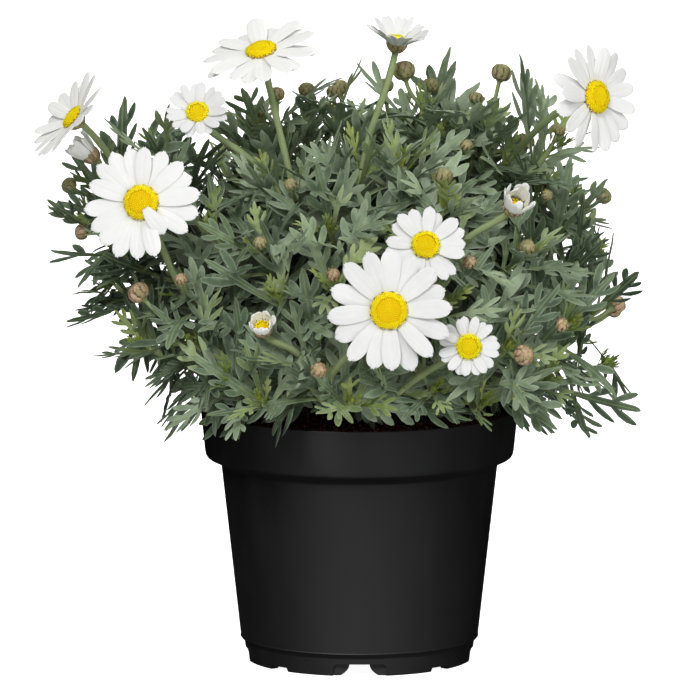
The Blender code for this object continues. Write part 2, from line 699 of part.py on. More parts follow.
def daisy_pieces(name, seed, branches):
    """The shapes of one daisy: its stalk with the cup of bracts, its petals, and its disc."""
    (across, up, depth), facing, reach, width, disc, cup, petals, (branch, shoot) = DAISIES[name]
    centre, axes = in_view(across, up, depth), face_axes(direction(*facing))
    foot_point, foot_way = on_route(branches[branch][shoot], 0)
    cup_depth = BRACTS_DEPTH + disc * BRACTS_DEPTH_SHARE
    neck = centre - axes[2] * (BRACTS_TOP + cup_depth)
    foot = foot_point + foot_way * STALK_GAP
    arrive = (axes[2] + (neck - foot).normalized() * 0.6).normalized()
    points = route(foot, foot_way, neck, arrive, 0.36, 4)
    radii = [STALK_RADIUS] * 5
    for depth_share, radius_share in ((0.72, 0.62), (0.40, 0.86), (0.0, 1.0)):
        points.append(centre - axes[2] * (BRACTS_TOP + cup_depth * depth_share))
        radii.append(disc * radius_share)
    stalk = tube(points, radii, 6, True, (foot_way, None))
    if isinstance(petals, int):
        petals = [360 * (i + 0.2 * math.sin(i * 2.4 + seed)) / petals for i in range(petals)]
    petals = [math.radians(angle) for angle in petals]
    middle = centre - axes[2] * PETAL_HALF_THICKNESS
    rays = petal_ring(petals, reach, width, disc, cup, middle, axes, seed)
    profile = ((0, 0), (0.86, 0), (1, 0.28), (0.78, 0.86), (0.42, 0.98), (0, 0.78))
    rings = [(disc * share, DISC_GAP + disc * DISC_RISE_SHARE * rise) for share, rise in profile]
    florets = lathe(rings, 10)
    for i, v in enumerate(florets[0]):
        if v.z > DISC_GAP and i % 2:
            v.z += FLORET_RELIEF
    florets = triangles(turned_to(florets, centre, axes))
    return {"stalk": stalk, "petals": triangles(rays), "disc": florets}


class Room:
    """What has been placed so far, to tell whether the next leaf would cross it."""

    def __init__(self):
        self.placed = []

    def add(self, owner, part, shape):
        verts, faces = shape
        tree = BVHTree.FromPolygons(verts, [tuple(face) for face in faces])
        low = [min(v[i] for v in verts) for i in range(3)]
        high = [max(v[i] for v in verts) for i in range(3)]
        self.placed.append((owner, part, tree, low, high))

    def free(self, owner, shoot, wide, plain):
        """Whether the wide shape misses other nodes, and the plain one the rest of its own node."""
        verts, faces = wide
        low = [min(v[i] for v in verts) for i in range(3)]
        high = [max(v[i] for v in verts) for i in range(3)]
        wide_tree = BVHTree.FromPolygons(verts, faces)
        plain_tree = BVHTree.FromPolygons(*plain)
        for other, part, tree, other_low, other_high in self.placed:
            if any(low[i] > other_high[i] or high[i] < other_low[i] for i in range(3)):
                continue
            if other != owner and tree.overlap(wide_tree):
                return False
            if other == owner and part != shoot and tree.overlap(plain_tree):
                return False
        return True


def build_crown(aims, look):
    """The short woody base of the plant: a trunk in the soil, a knob, and a stub for each branch."""
    knob = lathe([(0, TRUNK_FOOT), (TRUNK_RADIUS * 0.8, TRUNK_FOOT), (TRUNK_RADIUS, 100), (TRUNK_RADIUS, 116),
                  (9.0, 119.5), (10.5, 124), (8.0, 131), (0, 134)], 10)
    pieces = [triangles(knob)]
    for aim in aims:
        pieces.append(tube([CROWN_CENTRE + aim * 6, CROWN_CENTRE + aim * CROWN_REACH],
                           [STUB_RADIUS * 1.1, STUB_RADIUS], 4))
    return fuse("crown", pieces, look, "EXACT")


def build_plant(looks, room):
    """Branches with their shoots, buds and leaves, and the daisies on their stalks."""
    tips = shoot_tips()
    routes, aims = zip(*[branch_routes(*branch) for branch in zip(tips, shoot_ways(tips))])
    names = [f"branch_{i + 1:02d}" for i in range(len(tips))]
    pieces = {name: [] for name in names}
    for name, shoots in zip(names, routes):
        for k, points in enumerate(shoots):
            base = STUB_RADIUS if k == 0 else SIDE_SHOOT_RADIUS
            stem = stem_mesh(points, base, TIP_RADIUS, 4, 4 if k == 0 else 3)
            pieces[name].append(stem)
            room.add(name, k, stem)
    crown = build_crown(aims, looks["wood"])
    crown_shape = ([v.co / MM for v in crown.data.vertices], [tuple(p.vertices) for p in crown.data.polygons])
    room.add("crown", "stem", crown_shape)

    daisies = {}
    for seed, name in enumerate(DAISIES):
        daisies[name] = daisy_pieces(name, seed + 1, routes)
        for part, shape in daisies[name].items():
            room.add(name, part, shape)

    bearing = {daisy[-1] for daisy in DAISIES.values()}
    for across, up, diameter, branch, shoot in BUDS:
        back = BUD_FOOT_BESIDE_STALK if (branch, shoot) in bearing else BUD_FOOT_BACK
        foot, foot_way = on_route(routes[branch][shoot], back)
        bud = bud_mesh(foot, foot_way, on_dome(across, up, BUD_PROUD), diameter)
        pieces[names[branch]].append(bud)
        room.add(names[branch], "bud", bud)
    for branch in range(len(FRONT_BRANCHES), len(names)):
        for shoot in (1, 2, 3):
            foot, foot_way = on_route(routes[branch][shoot], BUD_FOOT_BACK)
            sway = direction(branch * 80 + shoot * 50, 0) * 6
            bud = bud_mesh(foot, foot_way, foot + foot_way * (17 + 4 * shoot) + sway, BACK_BUD_DIAMETER)
            pieces[names[branch]].append(bud)
            room.add(names[branch], "bud", bud)

    waiting = []
    number = 0
    for branch, shoots in enumerate(routes):
        for k, points in enumerate(shoots):
            plans = plan_leaves(number, points, (branch, k) in bearing)
            number += 1
            plans.sort(key=lambda plan: -leaf_weight(plan))
            waiting.append((names[branch], k, plans))
    count = 0
    while any(plans for _, _, plans in waiting) and count < LEAVES_IN_ALL:
        for name, shoot, plans in waiting:
            while plans and count < LEAVES_IN_ALL:
                plan = plans.pop(0)
                if room.free(name, shoot, leaf_mesh(plan, LEAF_SPARE), leaf_mesh(plan)):
                    leaf = leaf_mesh(plan)
                    pieces[name].append(leaf)
                    room.add(name, "leaf", leaf)
                    count += 1
                    break

    for name in names:
        thin_out(fuse(name, pieces[name], looks["leaf"]))
    for name, parts in daisies.items():
        for part, shape in parts.items():
            if part != "disc" or name not in HIDDEN_DISCS:
                add_object(f"{name}_{part}", *shape, looks[part])


def leaf_weight(plan):
    """How much a leaf shows: the further out of the dome its tip lies, and the longer it is, the more."""
    tip = bend_point(plan, 0, plan["length"], 0) - DOME_CENTRE
    reach = Vector([tip[i] / DOME_RADII[i] for i in range(3)]).length
    return reach + 0.016 * plan["length"]


def centre_on_box():
    """Moves everything so that the whole plant's box has its middle on the axis."""
    objects = list(bpy.context.scene.collection.objects)
    points = [v.co for made in objects for v in made.data.vertices]
    shift = Vector((min(p[i] for p in points) + max(p[i] for p in points)) / -2 for i in range(2))
    for made in objects:
        for v in made.data.vertices:
            v.co.x += shift[0]
            v.co.y += shift[1]


def main():
    for old in list(bpy.data.objects):
        bpy.data.objects.remove(old)
    looks = {
        "plastic": material("pot_plastic", (0.018, 0.018, 0.019), 0.42),
        "soil": material("peat", (0.045, 0.020, 0.014), 0.95),
        "wood": material("crown_wood", (0.16, 0.13, 0.08), 0.8),
        "leaf": material("leaf_green", (0.10, 0.16, 0.10), 0.6),
        "stalk": material("stalk_green", (0.22, 0.30, 0.12), 0.55),
        "petals": material("petal_white", (0.86, 0.87, 0.88), 0.55),
        "disc": material("disc_yellow", (0.85, 0.52, 0.02), 0.7),
    }
    room = Room()
    for build, look in ((build_pot, "plastic"), (build_soil, "soil")):
        made = build(looks[look])
        shape = ([v.co / MM for v in made.data.vertices], [tuple(p.vertices) for p in made.data.polygons])
        room.add(made.name, "base", shape)
    build_plant(looks, room)
    centre_on_box()


main()
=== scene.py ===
"""The looks of a potted marguerite daisy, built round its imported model.

The file follows the plant as it is put together: pot, peat, woody crown, stems, leaves, buds, flower
stalks, petals and discs. Places on it are worked out in millimetres from the pot's axis, and MM makes them
metres.
"""

import json
import math
import random
from collections import namedtuple

import bpy
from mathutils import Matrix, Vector

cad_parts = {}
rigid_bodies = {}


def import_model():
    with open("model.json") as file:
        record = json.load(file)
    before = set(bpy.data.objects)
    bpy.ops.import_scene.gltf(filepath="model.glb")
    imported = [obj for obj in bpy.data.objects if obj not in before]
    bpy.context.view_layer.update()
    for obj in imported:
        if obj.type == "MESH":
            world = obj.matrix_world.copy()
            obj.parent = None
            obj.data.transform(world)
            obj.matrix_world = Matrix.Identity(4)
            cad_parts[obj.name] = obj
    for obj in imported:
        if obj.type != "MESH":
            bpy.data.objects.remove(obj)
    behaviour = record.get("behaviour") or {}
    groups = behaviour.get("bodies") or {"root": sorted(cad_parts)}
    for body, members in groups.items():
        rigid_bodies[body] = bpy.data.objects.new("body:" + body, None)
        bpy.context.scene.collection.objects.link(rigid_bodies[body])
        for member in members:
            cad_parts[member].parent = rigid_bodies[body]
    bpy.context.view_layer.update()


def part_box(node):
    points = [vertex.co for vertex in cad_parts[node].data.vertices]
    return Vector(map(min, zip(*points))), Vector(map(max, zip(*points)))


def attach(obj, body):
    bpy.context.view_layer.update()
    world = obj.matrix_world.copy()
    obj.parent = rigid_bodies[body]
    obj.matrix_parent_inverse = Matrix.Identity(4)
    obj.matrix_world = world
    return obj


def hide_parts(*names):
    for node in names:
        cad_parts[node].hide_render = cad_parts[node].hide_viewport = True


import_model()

MM = 0.001
UP = Vector((0, 0, 1))


# The camera stands far back with a long lens, a little above the plant, as the picture was taken. The
# studio is a pale floor, a pale room and broad soft light from the front left, the right, in front, below,
# above and behind.
VIEW_TILT = math.radians(8.5)
CAMERA_DISTANCE = 5.0
CAMERA_CLIP = 50
PICTURE_WIDTH = 0.3283
PICTURE_MIDDLE = Vector((-0.0054, 0, 0.1478))
SENSOR_WIDTH = 36.0
ROOM_LIGHT = 0.20
FLOOR_REACH = 9
FLOOR_GLOW = 0.95

pot_low, pot_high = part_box("pot")
AXIS = Vector(((pot_low.x + pot_high.x) / 2, (pot_low.y + pot_high.y) / 2, 0))


def in_scene(name, data):
    """A new object in the scene."""
    made = bpy.data.objects.new(name, data)
    bpy.context.scene.collection.objects.link(made)
    return made


def aimed(name, data, place, aim):
    """A camera or a light that looks at a point."""
    made = in_scene(name, data)
    made.location = place
    made.rotation_euler = (aim - place).to_track_quat("-Z", "Y").to_euler()
    return made


camera = bpy.data.cameras.new("camera")
camera.sensor_width = SENSOR_WIDTH
camera.lens = SENSOR_WIDTH * CAMERA_DISTANCE / PICTURE_WIDTH
camera.clip_end = CAMERA_CLIP
middle = AXIS + PICTURE_MIDDLE
back = Vector((0, -math.cos(VIEW_TILT), math.sin(VIEW_TILT)))
bpy.context.scene.camera = aimed("camera", camera, middle + back * CAMERA_DISTANCE, middle)

# Each soft light: the place it shines from, its strength, how wide it looks, in degrees, and whether it
# shows in gloss
SOFT_LIGHTS = {
    "key": ((-0.28, -0.88, 0.78), 1.6, 18, True),
    "side": ((0.9, -0.7, 0.4), 1.0, 40, False),
    "front": ((0.1, -1.0, 0.0), 0.75, 110, True),
    "floor": ((0.0, -0.6, -1.0), 1.0, 60, False),
    "top": ((0.0, -0.1, 1.0), 0.6, 50, True),
    "back": ((0.3, 1.0, 0.2), 2.2, 60, False),
}
for name, (place, strength, breadth, shows) in SOFT_LIGHTS.items():
    light = bpy.data.lights.new(name, "SUN")
    light.energy = strength
    light.angle = math.radians(breadth)
    aimed(name, light, middle + Vector(place), middle).visible_glossy = shows

room = bpy.data.worlds.new("room")
room.use_nodes = True
room.node_tree.nodes["Background"].inputs["Color"].default_value = (1, 1, 1, 1)
room.node_tree.nodes["Background"].inputs["Strength"].default_value = ROOM_LIGHT
room.cycles_visibility.glossy = False
bpy.context.scene.world = room
bpy.context.scene.view_settings.view_transform = "Standard"


def new_material(name, roughness, specular, **constants):
    """A material, its tree and its Principled shader, with the sockets set that are the same all over."""
    made = bpy.data.materials.new(name)
    made.use_nodes = True
    shader = made.node_tree.nodes["Principled BSDF"]
    for label, value in {"Roughness": roughness, "Specular_IOR_Level": specular, **constants}.items():
        shader.inputs[label.replace("_", " ")].default_value = value
    return made, made.node_tree, shader


def new_object(name, points, faces, look=None):
    """An object in the scene whose mesh is the given points, in metres, and faces."""
    mesh = bpy.data.meshes.new(name)
    mesh.from_pydata(points, [], faces)
    if look:
        mesh.materials.append(look)
    return in_scene(name, mesh)


paper, _, _ = new_material("floor_paper", 0.9, 0.1, Base_Color=(0.86, 0.86, 0.86, 1),
                           Emission_Color=(1, 1, 1, 1), Emission_Strength=FLOOR_GLOW)
floor_corners = [(x * FLOOR_REACH, y * FLOOR_REACH, 0) for x, y in ((-1, -1), (1, -1), (1, 1), (-1, 1))]
floor = new_object("floor", floor_corners, [(0, 1, 2, 3)], paper)
floor.visible_diffuse = floor.visible_glossy = floor.visible_shadow = False


# The pot is one thin shell of black plastic, injection moulded: a tapered wall, a shoulder and a wider
# collar, and a floor over a foot ring. The ring is cut by four notches with a flared inner part and by four
# low gaps.
RIM_RADIUS = 75.0
POT_HEIGHT = 119.5
WALL = 1.2
COLLAR_FOOT = (73.0, 100.0)
SHOULDER = (69.8, 96.0)
NECK = (65.3, 93.2)
BODY = (56.0, 10.5)
FOOT_TOP = (54.3, 8.5)
FOOT_RADIUS = 53.3
FOOT_INNER_RADIUS = 48.8
FOOT_STEP_RADIUS = 50.3
FLOOR_HEIGHT = 6.0
FLOOR_THICKNESS = 1.4
POT_SIDES = 160
NOTCH = (25.0, 5.8)
GAP = (12.0, 1.9)
FLARE = (9.4, 18.0)
FLARE_STEPS = 8
CUT_REACH = 44.0
DRAIN_RADIUS = 4.0
DRAIN_SIDES = 32
DRAIN_CIRCLE = 34.0
SHARP_ANGLE = math.radians(28)
BEND_STEPS = 4


def in_place(point):
    """A place in millimetres from the pot's axis, as metres in the frame."""
    return AXIS + point * MM


def modified(made):
    """The mesh that an object's modifiers make."""
    graph = bpy.context.evaluated_depsgraph_get()
    return bpy.data.meshes.new_from_object(made.evaluated_get(graph))


def hand_over(piece, node):
    """A finished piece stands for its CAD node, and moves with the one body."""
    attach(piece, "root")
    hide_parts(node)


def rounded(corners):
    """An outline in which each corner that gives a radius is an arc of a few steps."""
    points = []
    for i, (radius, height, bend) in enumerate(corners):
        here = Vector((radius, height))
        if not bend:
            points.append(here)
            continue
        before = (Vector(corners[i - 1][:2]) - here).normalized()
        after = (Vector(corners[(i + 1) % len(corners)][:2]) - here).normalized()
        for step in range(BEND_STEPS + 1):
            t = step / BEND_STEPS
            points.append(here + before * bend * (1 - t) ** 2 + after * bend * t**2)
    return points


def turned(outline, sides):
    """Points and faces of a solid turned round the axis, from an outline that starts and ends on it."""
    points = [Vector((0, 0, outline[0][1]))]
    for radius, height in outline[1:-1]:
        for i in range(sides):
            angle = math.tau * i / sides
            points.append(Vector((radius * math.cos(angle), radius * math.sin(angle), height)))
    points.append(Vector((0, 0, outline[-1][1])))
    last_ring = 1 + sides * (len(outline) - 3)
    faces = []
    for i in range(sides):
        j = (i + 1) % sides
        faces.append((0, 1 + j, 1 + i))
        faces.append((last_ring + i, last_ring + j, len(points) - 1))
        for ring in range(1, last_ring, sides):
            faces.append((ring + i, ring + j, ring + sides + j, ring + sides + i))
    return points, faces


def spun(points, turn):
    """Points turned round the axis by an angle."""
    cosine, sine = math.cos(turn), math.sin(turn)
    return [Vector((p.x * cosine - p.y * sine, p.x * sine + p.y * cosine, p.z)) for p in points]


def prism(half, near, far):
    """Points and faces of an upright shape pushed along Y, from the right half of its outline."""
    outline = half + [(-x, z) for x, z in reversed(half)]
    count = len(outline)
    points = [Vector((x, y, z)) for y in (near, far) for x, z in outline]
    faces = [tuple(range(count)), tuple(reversed(range(count, 2 * count)))]
    faces += [((i + 1) % count, i, i + count, (i + 1) % count + count) for i in range(count)]
    return points, faces


shell_points, shell_faces = turned(rounded([
    (0, FLOOR_HEIGHT, 0), (FOOT_INNER_RADIUS, FLOOR_HEIGHT, 0), (FOOT_INNER_RADIUS, 0, 0.3),
    (FOOT_RADIUS, 0, 0.4), (*FOOT_TOP, 0.5), (*BODY, 0.3),
    (BODY[0] + 0.35, BODY[1] + 0.35, 0.1), (BODY[0] + 0.12, BODY[1] + 0.8, 0.1), (*NECK, 1.0),
    (*SHOULDER, 1.0), (COLLAR_FOOT[0] - 0.5, SHOULDER[1] + 0.9, 1.6), (*COLLAR_FOOT, 1.2),
    (RIM_RADIUS, POT_HEIGHT, 0.5), (RIM_RADIUS - WALL, POT_HEIGHT, 0.4),
    (COLLAR_FOOT[0] - WALL, COLLAR_FOOT[1] + 0.4, 1.0), (SHOULDER[0] - 0.8, SHOULDER[1] + 1.4, 0.6),
    (NECK[0] - WALL, NECK[1] + 1.4, 0.6), (BODY[0] - WALL, BODY[1], 0),
    (FOOT_TOP[0] - 1.6, FLOOR_HEIGHT + FLOOR_THICKNESS, 0), (0, FLOOR_HEIGHT + FLOOR_THICKNESS, 0),
]), POT_SIDES)
pot = new_object("pot_shell", [in_place(p) for p in shell_points], shell_faces)

notch_half = [(NOTCH[0] / 2, -1), (NOTCH[0] / 2, NOTCH[1] - 1.2), (NOTCH[0] / 2 - 1.6, NOTCH[1])]
gap_half = [(GAP[0] / 2, -1), (GAP[0] / 2 - 1.2, GAP[1])]
flare_half = [(FLARE[1] / 2 + 1.5, -1)]
for step in range(1, FLARE_STEPS + 1):
    t = step / FLARE_STEPS
    flare_half.append((FLARE[0] / 2 + (FLARE[1] - FLARE[0]) / 2 * (1 - t) ** 2.4, (FLOOR_HEIGHT - 0.2) * t))
hole, hole_faces = turned([(0, 4), (DRAIN_RADIUS, 4), (DRAIN_RADIUS, 10), (0, 10)], DRAIN_SIDES)
cutters = bpy.data.collections.new("cutters")
bpy.context.scene.collection.children.link(cutters)
for quarter in range(4):
    turn = quarter * math.pi / 2
    eighth = turn + math.pi / 4
    drain = [p + Vector((math.cos(eighth), math.sin(eighth), 0)) * DRAIN_CIRCLE for p in hole]
    for points, faces, angle in (
        (*prism(notch_half, -FOOT_RADIUS - 4, -FOOT_STEP_RADIUS), turn),
        (*prism(flare_half, -FOOT_STEP_RADIUS - 0.6, -CUT_REACH), turn),
        (*prism(gap_half, -FOOT_RADIUS - 4, -CUT_REACH), eighth),
        (drain, hole_faces, 0),
    ):
        cutter = new_object("cutter", [in_place(p) for p in spun(points, angle)], faces)
        bpy.context.scene.collection.objects.unlink(cutter)
        cutters.objects.link(cutter)
cut = pot.modifiers.new("cut", "BOOLEAN")
cut.operation = "DIFFERENCE"
cut.operand_type = "COLLECTION"
cut.collection = cutters
shell = modified(pot)
pot.modifiers.clear()
pot.data = shell
for cutter in list(cutters.objects):
    bpy.data.objects.remove(cutter)
bpy.data.collections.remove(cutters)
shell.shade_smooth()
shell.set_sharp_from_angle(angle=SHARP_ANGLE)


class Wire:
    """A node's output. Sums written with it become nodes, for numbers or for vectors as the output is."""

    def __init__(self, tree, socket):
        self.tree = tree
        self.socket = socket

    def maths(self, operation, *others):
        """The output of an operation on this and others, which are outputs or plain values."""
        kind = "ShaderNodeVectorMath" if self.socket.type == "VECTOR" else "ShaderNodeMath"
        return wire(self.tree, kind, dict(enumerate((self, *others))), operation=operation)

    def __add__(self, other):
        return self.maths("ADD", other)

    def __sub__(self, other):
        return self.maths("SUBTRACT", other)

    def __mul__(self, other):
        if self.socket.type == "VECTOR":
            return wire(self.tree, "ShaderNodeVectorMath", {0: self, "Scale": other}, operation="SCALE")
        return self.maths("MULTIPLY", other)

    def __truediv__(self, other):
        return self.maths("DIVIDE", other)


def add(tree, kind, inputs=None, **settings):
    """A node in a tree, with its settings, and its inputs joined to other outputs or set to values."""
    node = tree.nodes.new(kind)
    for name, value in settings.items():
        setattr(node, name, value)
    for key, value in (inputs or {}).items():
        if isinstance(value, Wire):
            tree.links.new(value.socket, node.inputs[key])
        else:
            node.inputs[key].default_value = value
    return node


def wire(tree, kind, inputs=None, output=0, **settings):
    """One output of a new node."""
    return Wire(tree, add(tree, kind, inputs, **settings).outputs[output])


def ramp(factor, stops):
    """A colour ramp: each stop is its place and its colour."""
    node = add(factor.tree, "ShaderNodeValToRGB", {"Fac": factor})
    elements = node.color_ramp.elements
    while len(elements) < len(stops):
        elements.new(0.5)
    for element, (place, colour) in zip(elements, stops):
        element.position = place
        element.color = (*colour, 1)
    return Wire(factor.tree, node.outputs["Color"])


def between(value, low, high, first=0.0, last=1.0):
    """Goes from first to last as a value goes from low to high."""
    return wire(value.tree, "ShaderNodeMapRange", {
        "Value": value, "From Min": low, "From Max": high, "To Min": first, "To Max": last})


def finish_look(shader, colour, height, strength, depth, roughness=None):
    """Joins a colour, a bump with its strength and depth in metres, and perhaps a roughness to a shader."""
    links = shader.id_data.links
    dents = add(shader.id_data, "ShaderNodeBump", {
        "Height": height, "Strength": strength, "Distance": depth})
    links.new(dents.outputs["Normal"], shader.inputs["Normal"])
    links.new(colour.socket, shader.inputs["Base Color"])
    if roughness:
        links.new(roughness.socket, shader.inputs["Roughness"])


# Grain: fine and coarse noise together, for dust, mottle and moulded texture.
grain = bpy.data.node_groups.new("grain", "ShaderNodeTree")
for label, kind, value in (("Fine Scale", "NodeSocketFloat", 900), ("Coarse Scale", "NodeSocketFloat", 60),
                           ("Stretch", "NodeSocketVector", (1, 1, 1))):
    grain.interface.new_socket(label, in_out="INPUT", socket_type=kind).default_value = value
for label in ("Fine", "Coarse"):
    grain.interface.new_socket(label, in_out="OUTPUT", socket_type="NodeSocketFloat")
given = grain.nodes.new("NodeGroupInput").outputs
results = grain.nodes.new("NodeGroupOutput").inputs
stretched = wire(grain, "ShaderNodeTexCoord", output="Object").maths(
    "MULTIPLY", Wire(grain, given["Stretch"]))
for label, detail in (("Fine", 3), ("Coarse", 4)):
    noise = wire(grain, "ShaderNodeTexNoise", {
        "Vector": stretched, "Scale": Wire(grain, given[label + " Scale"]), "Detail": detail})
    grain.links.new(noise.socket, results[label])


def grained(tree, fine_scale, coarse_scale, stretch=(1, 1, 1)):
    """The fine and the coarse noise of the grain, placed in a material."""
    node = add(tree, "ShaderNodeGroup", node_tree=grain)
    node.inputs["Fine Scale"].default_value = fine_scale
    node.inputs["Coarse Scale"].default_value = coarse_scale
    node.inputs["Stretch"].default_value = stretch
    return Wire(tree, node.outputs["Fine"]), Wire(tree, node.outputs["Coarse"])


plastic, tree, shader = new_material("black_plastic", 0.6, 0.82)
fine, coarse = grained(tree, 2600, 55, (1, 1, 0.35))
black = ramp(coarse, [(0.3, (0.0036, 0.0036, 0.0038)), (0.75, (0.0056, 0.0056, 0.0058))])
finish_look(shader, black, fine, 0.18, 0.00004, between(coarse, 0.3, 0.7, 0.56, 0.65))
shell.materials.clear()
shell.materials.append(plastic)
hand_over(pot, "pot")


# The peat is a plug of dark red-brown crumb, pressed in a little below the rim and slightly domed. Crumbs
# and short fibres lie loose on top.
PEAT_EDGE_HEIGHT = 112.0
PEAT_MIDDLE_HEIGHT = 115.0
CLEAR = 0.3
PEAT_SIDES = 120
PEAT_RINGS = 46
CRUMBS_A_SQUARE_MM = 0.15
CRUMB_RADIUS = 1.2
CRUMB_SIZES = ((0.25, 0.2, 0.2), (1.0, 0.7, 0.6))
ANY_TURN = ((0, 0, 0), (6.28, 6.28, 6.28))
LUMP_HEIGHT = 1.6
LUMP_SCALE = 130.0
LUMP_LEVEL = 0.55
LUMP_LIFT = 2.2
SOCKET_KINDS = {float: "NodeSocketFloat", int: "NodeSocketInt"}


def carried(tree, name, output="Fac"):
    """A value that a mesh carries, in a material."""
    return wire(tree, "ShaderNodeAttribute", output=output, attribute_name=name)


def named(tree, name, kind="FLOAT_VECTOR"):
    """A value that points or a mesh carry, in a geometry tree."""
    return wire(tree, "GeometryNodeInputNamedAttribute", {"Name": name}, data_type=kind)


def split(vector):
    """The three numbers of a vector."""
    node = add(vector.tree, "ShaderNodeSeparateXYZ", {0: vector})
    return [Wire(vector.tree, part) for part in node.outputs]


def new_tree(name, inputs):
    """A geometry tree and its inputs: Geometry, those given as a name with a value or a kind, and Look."""
    tree = bpy.data.node_groups.new(name, "GeometryNodeTree")
    for label, value in {"Geometry": "NodeSocketGeometry", **inputs, "Look": "NodeSocketMaterial"}.items():
        kind = SOCKET_KINDS.get(type(value), value)
        socket = tree.interface.new_socket(label, in_out="INPUT", socket_type=kind)
        if kind is not value:
            socket.default_value = value
    tree.interface.new_socket("Geometry", in_out="OUTPUT", socket_type="NodeSocketGeometry")
    return tree, {socket.name: Wire(tree, socket) for socket in tree.nodes.new("NodeGroupInput").outputs}


def end_tree(tree, given, geometry):
    """The end of a geometry tree: what it made takes its look and goes out. Returns the tree."""
    looked = wire(tree, "GeometryNodeSetMaterial", {"Geometry": geometry, "Material": given["Look"]})
    tree.links.new(looked.socket, tree.nodes.new("NodeGroupOutput").inputs[0])
    return tree


def made_by(tree, name, source, look, values):
    """The plain mesh piece that a geometry tree makes from a mesh."""
    maker = in_scene(name + "_source", source)
    modifier = maker.modifiers.new("tree", "NODES")
    modifier.node_group = tree
    for label, value in {"Look": look, **values}.items():
        modifier[tree.interface.items_tree[label].identifier] = value
    mesh = modified(maker)
    bpy.data.objects.remove(maker)
    return in_scene(name, mesh)


peat_look, tree, shader = new_material("peat", 0.95, 0.25)
fine, coarse = grained(tree, 700, 90)
earth = ramp(fine * 0.7 + carried(tree, "tone") * 0.45, [
    (0.2, (0.024, 0.010, 0.007)), (0.42, (0.085, 0.030, 0.021)), (0.6, (0.17, 0.062, 0.042)),
    (0.85, (0.32, 0.16, 0.10))])
finish_look(shader, earth, fine, 0.9, 0.0006)

tree, given = new_tree("peat_crumbs", {
    "Crumbs": CRUMBS_A_SQUARE_MM, "Crumb Size": CRUMB_RADIUS * MM, "Lumps": LUMP_HEIGHT * MM,
    "Edge Radius": 0.07, "Top Height": 0.1})
position = wire(tree, "GeometryNodeInputPosition")
x, y, z = split(position - tuple(AXIS))
far_out = (x.maths("POWER", 2.0) + y.maths("POWER", 2.0)).maths("SQRT")
on_top = far_out.maths("LESS_THAN", given["Edge Radius"]) * z.maths("GREATER_THAN", given["Top Height"])
lumps = wire(tree, "ShaderNodeTexNoise", {"Vector": position, "Scale": LUMP_SCALE, "Detail": 4.0})
lift = (lumps - LUMP_LEVEL) * given["Lumps"] * on_top * LUMP_LIFT
lift = wire(tree, "ShaderNodeCombineXYZ", {2: lift})
ground = wire(tree, "GeometryNodeSetPosition", {"Geometry": given["Geometry"], "Offset": lift})
scatter = wire(tree, "GeometryNodeDistributePointsOnFaces", {
    "Mesh": ground, "Selection": on_top, "Density": given["Crumbs"] * 1e6, "Seed": 11})
crumb = wire(tree, "GeometryNodeMeshIcoSphere", {"Radius": 1.0, "Subdivisions": 1})
turn, squeeze = (
    wire(tree, "FunctionNodeRandomValue", {0: low, 1: high, "Seed": seed}, data_type="FLOAT_VECTOR")
    for seed, (low, high) in enumerate((ANY_TURN, CRUMB_SIZES), 5))
crumbs = wire(tree, "GeometryNodeInstanceOnPoints", {
    "Points": scatter, "Instance": crumb, "Rotation": turn, "Scale": squeeze * given["Crumb Size"]})
shade = wire(tree, "FunctionNodeRandomValue", {2: 0.0, 3: 1.0, "Seed": 7}, 1, data_type="FLOAT")
toned = wire(tree, "GeometryNodeStoreNamedAttribute", {
    "Geometry": crumbs, "Name": "tone", "Value": shade}, data_type="FLOAT", domain="INSTANCE")
both = add(tree, "GeometryNodeJoinGeometry")
for part in (ground, wire(tree, "GeometryNodeRealizeInstances", {0: toned})):
    tree.links.new(part.socket, both.inputs[0])
crumb_tree = end_tree(tree, given, Wire(tree, both.outputs[0]))

inset = WALL + CLEAR + 0.1
collar_lean = (RIM_RADIUS - COLLAR_FOOT[0]) / (POT_HEIGHT - COLLAR_FOOT[1])
peat_edge = COLLAR_FOOT[0] + (PEAT_EDGE_HEIGHT - COLLAR_FOOT[1]) * collar_lean - inset
peat_foot = FLOOR_HEIGHT + FLOOR_THICKNESS + CLEAR
peat_outline = [(0, peat_foot), (FOOT_TOP[0] - inset - 0.6, peat_foot), (BODY[0] - inset, BODY[1] + 0.6),
                (NECK[0] - inset, NECK[1] + 1.8), (SHOULDER[0] - inset, SHOULDER[1] + 2.6)]
for ring in range(PEAT_RINGS):
    share = 1 - ring / PEAT_RINGS
    rise = (PEAT_MIDDLE_HEIGHT - PEAT_EDGE_HEIGHT) * (1 - share**2)
    peat_outline.append((max(share * peat_edge, 0.5), PEAT_EDGE_HEIGHT + rise))
peat_outline.append((0, PEAT_MIDDLE_HEIGHT))
peat_points, peat_faces = turned(peat_outline, PEAT_SIDES)
peat_mesh = bpy.data.meshes.new("peat")
peat_mesh.from_pydata([in_place(p) for p in peat_points], [], peat_faces)
peat_mesh.update()
peat = made_by(crumb_tree, "peat", peat_mesh, peat_look, {
    "Edge Radius": (peat_edge - 1.0) * MM, "Top Height": (PEAT_EDGE_HEIGHT - 1.0) * MM})
hand_over(peat, "soil")


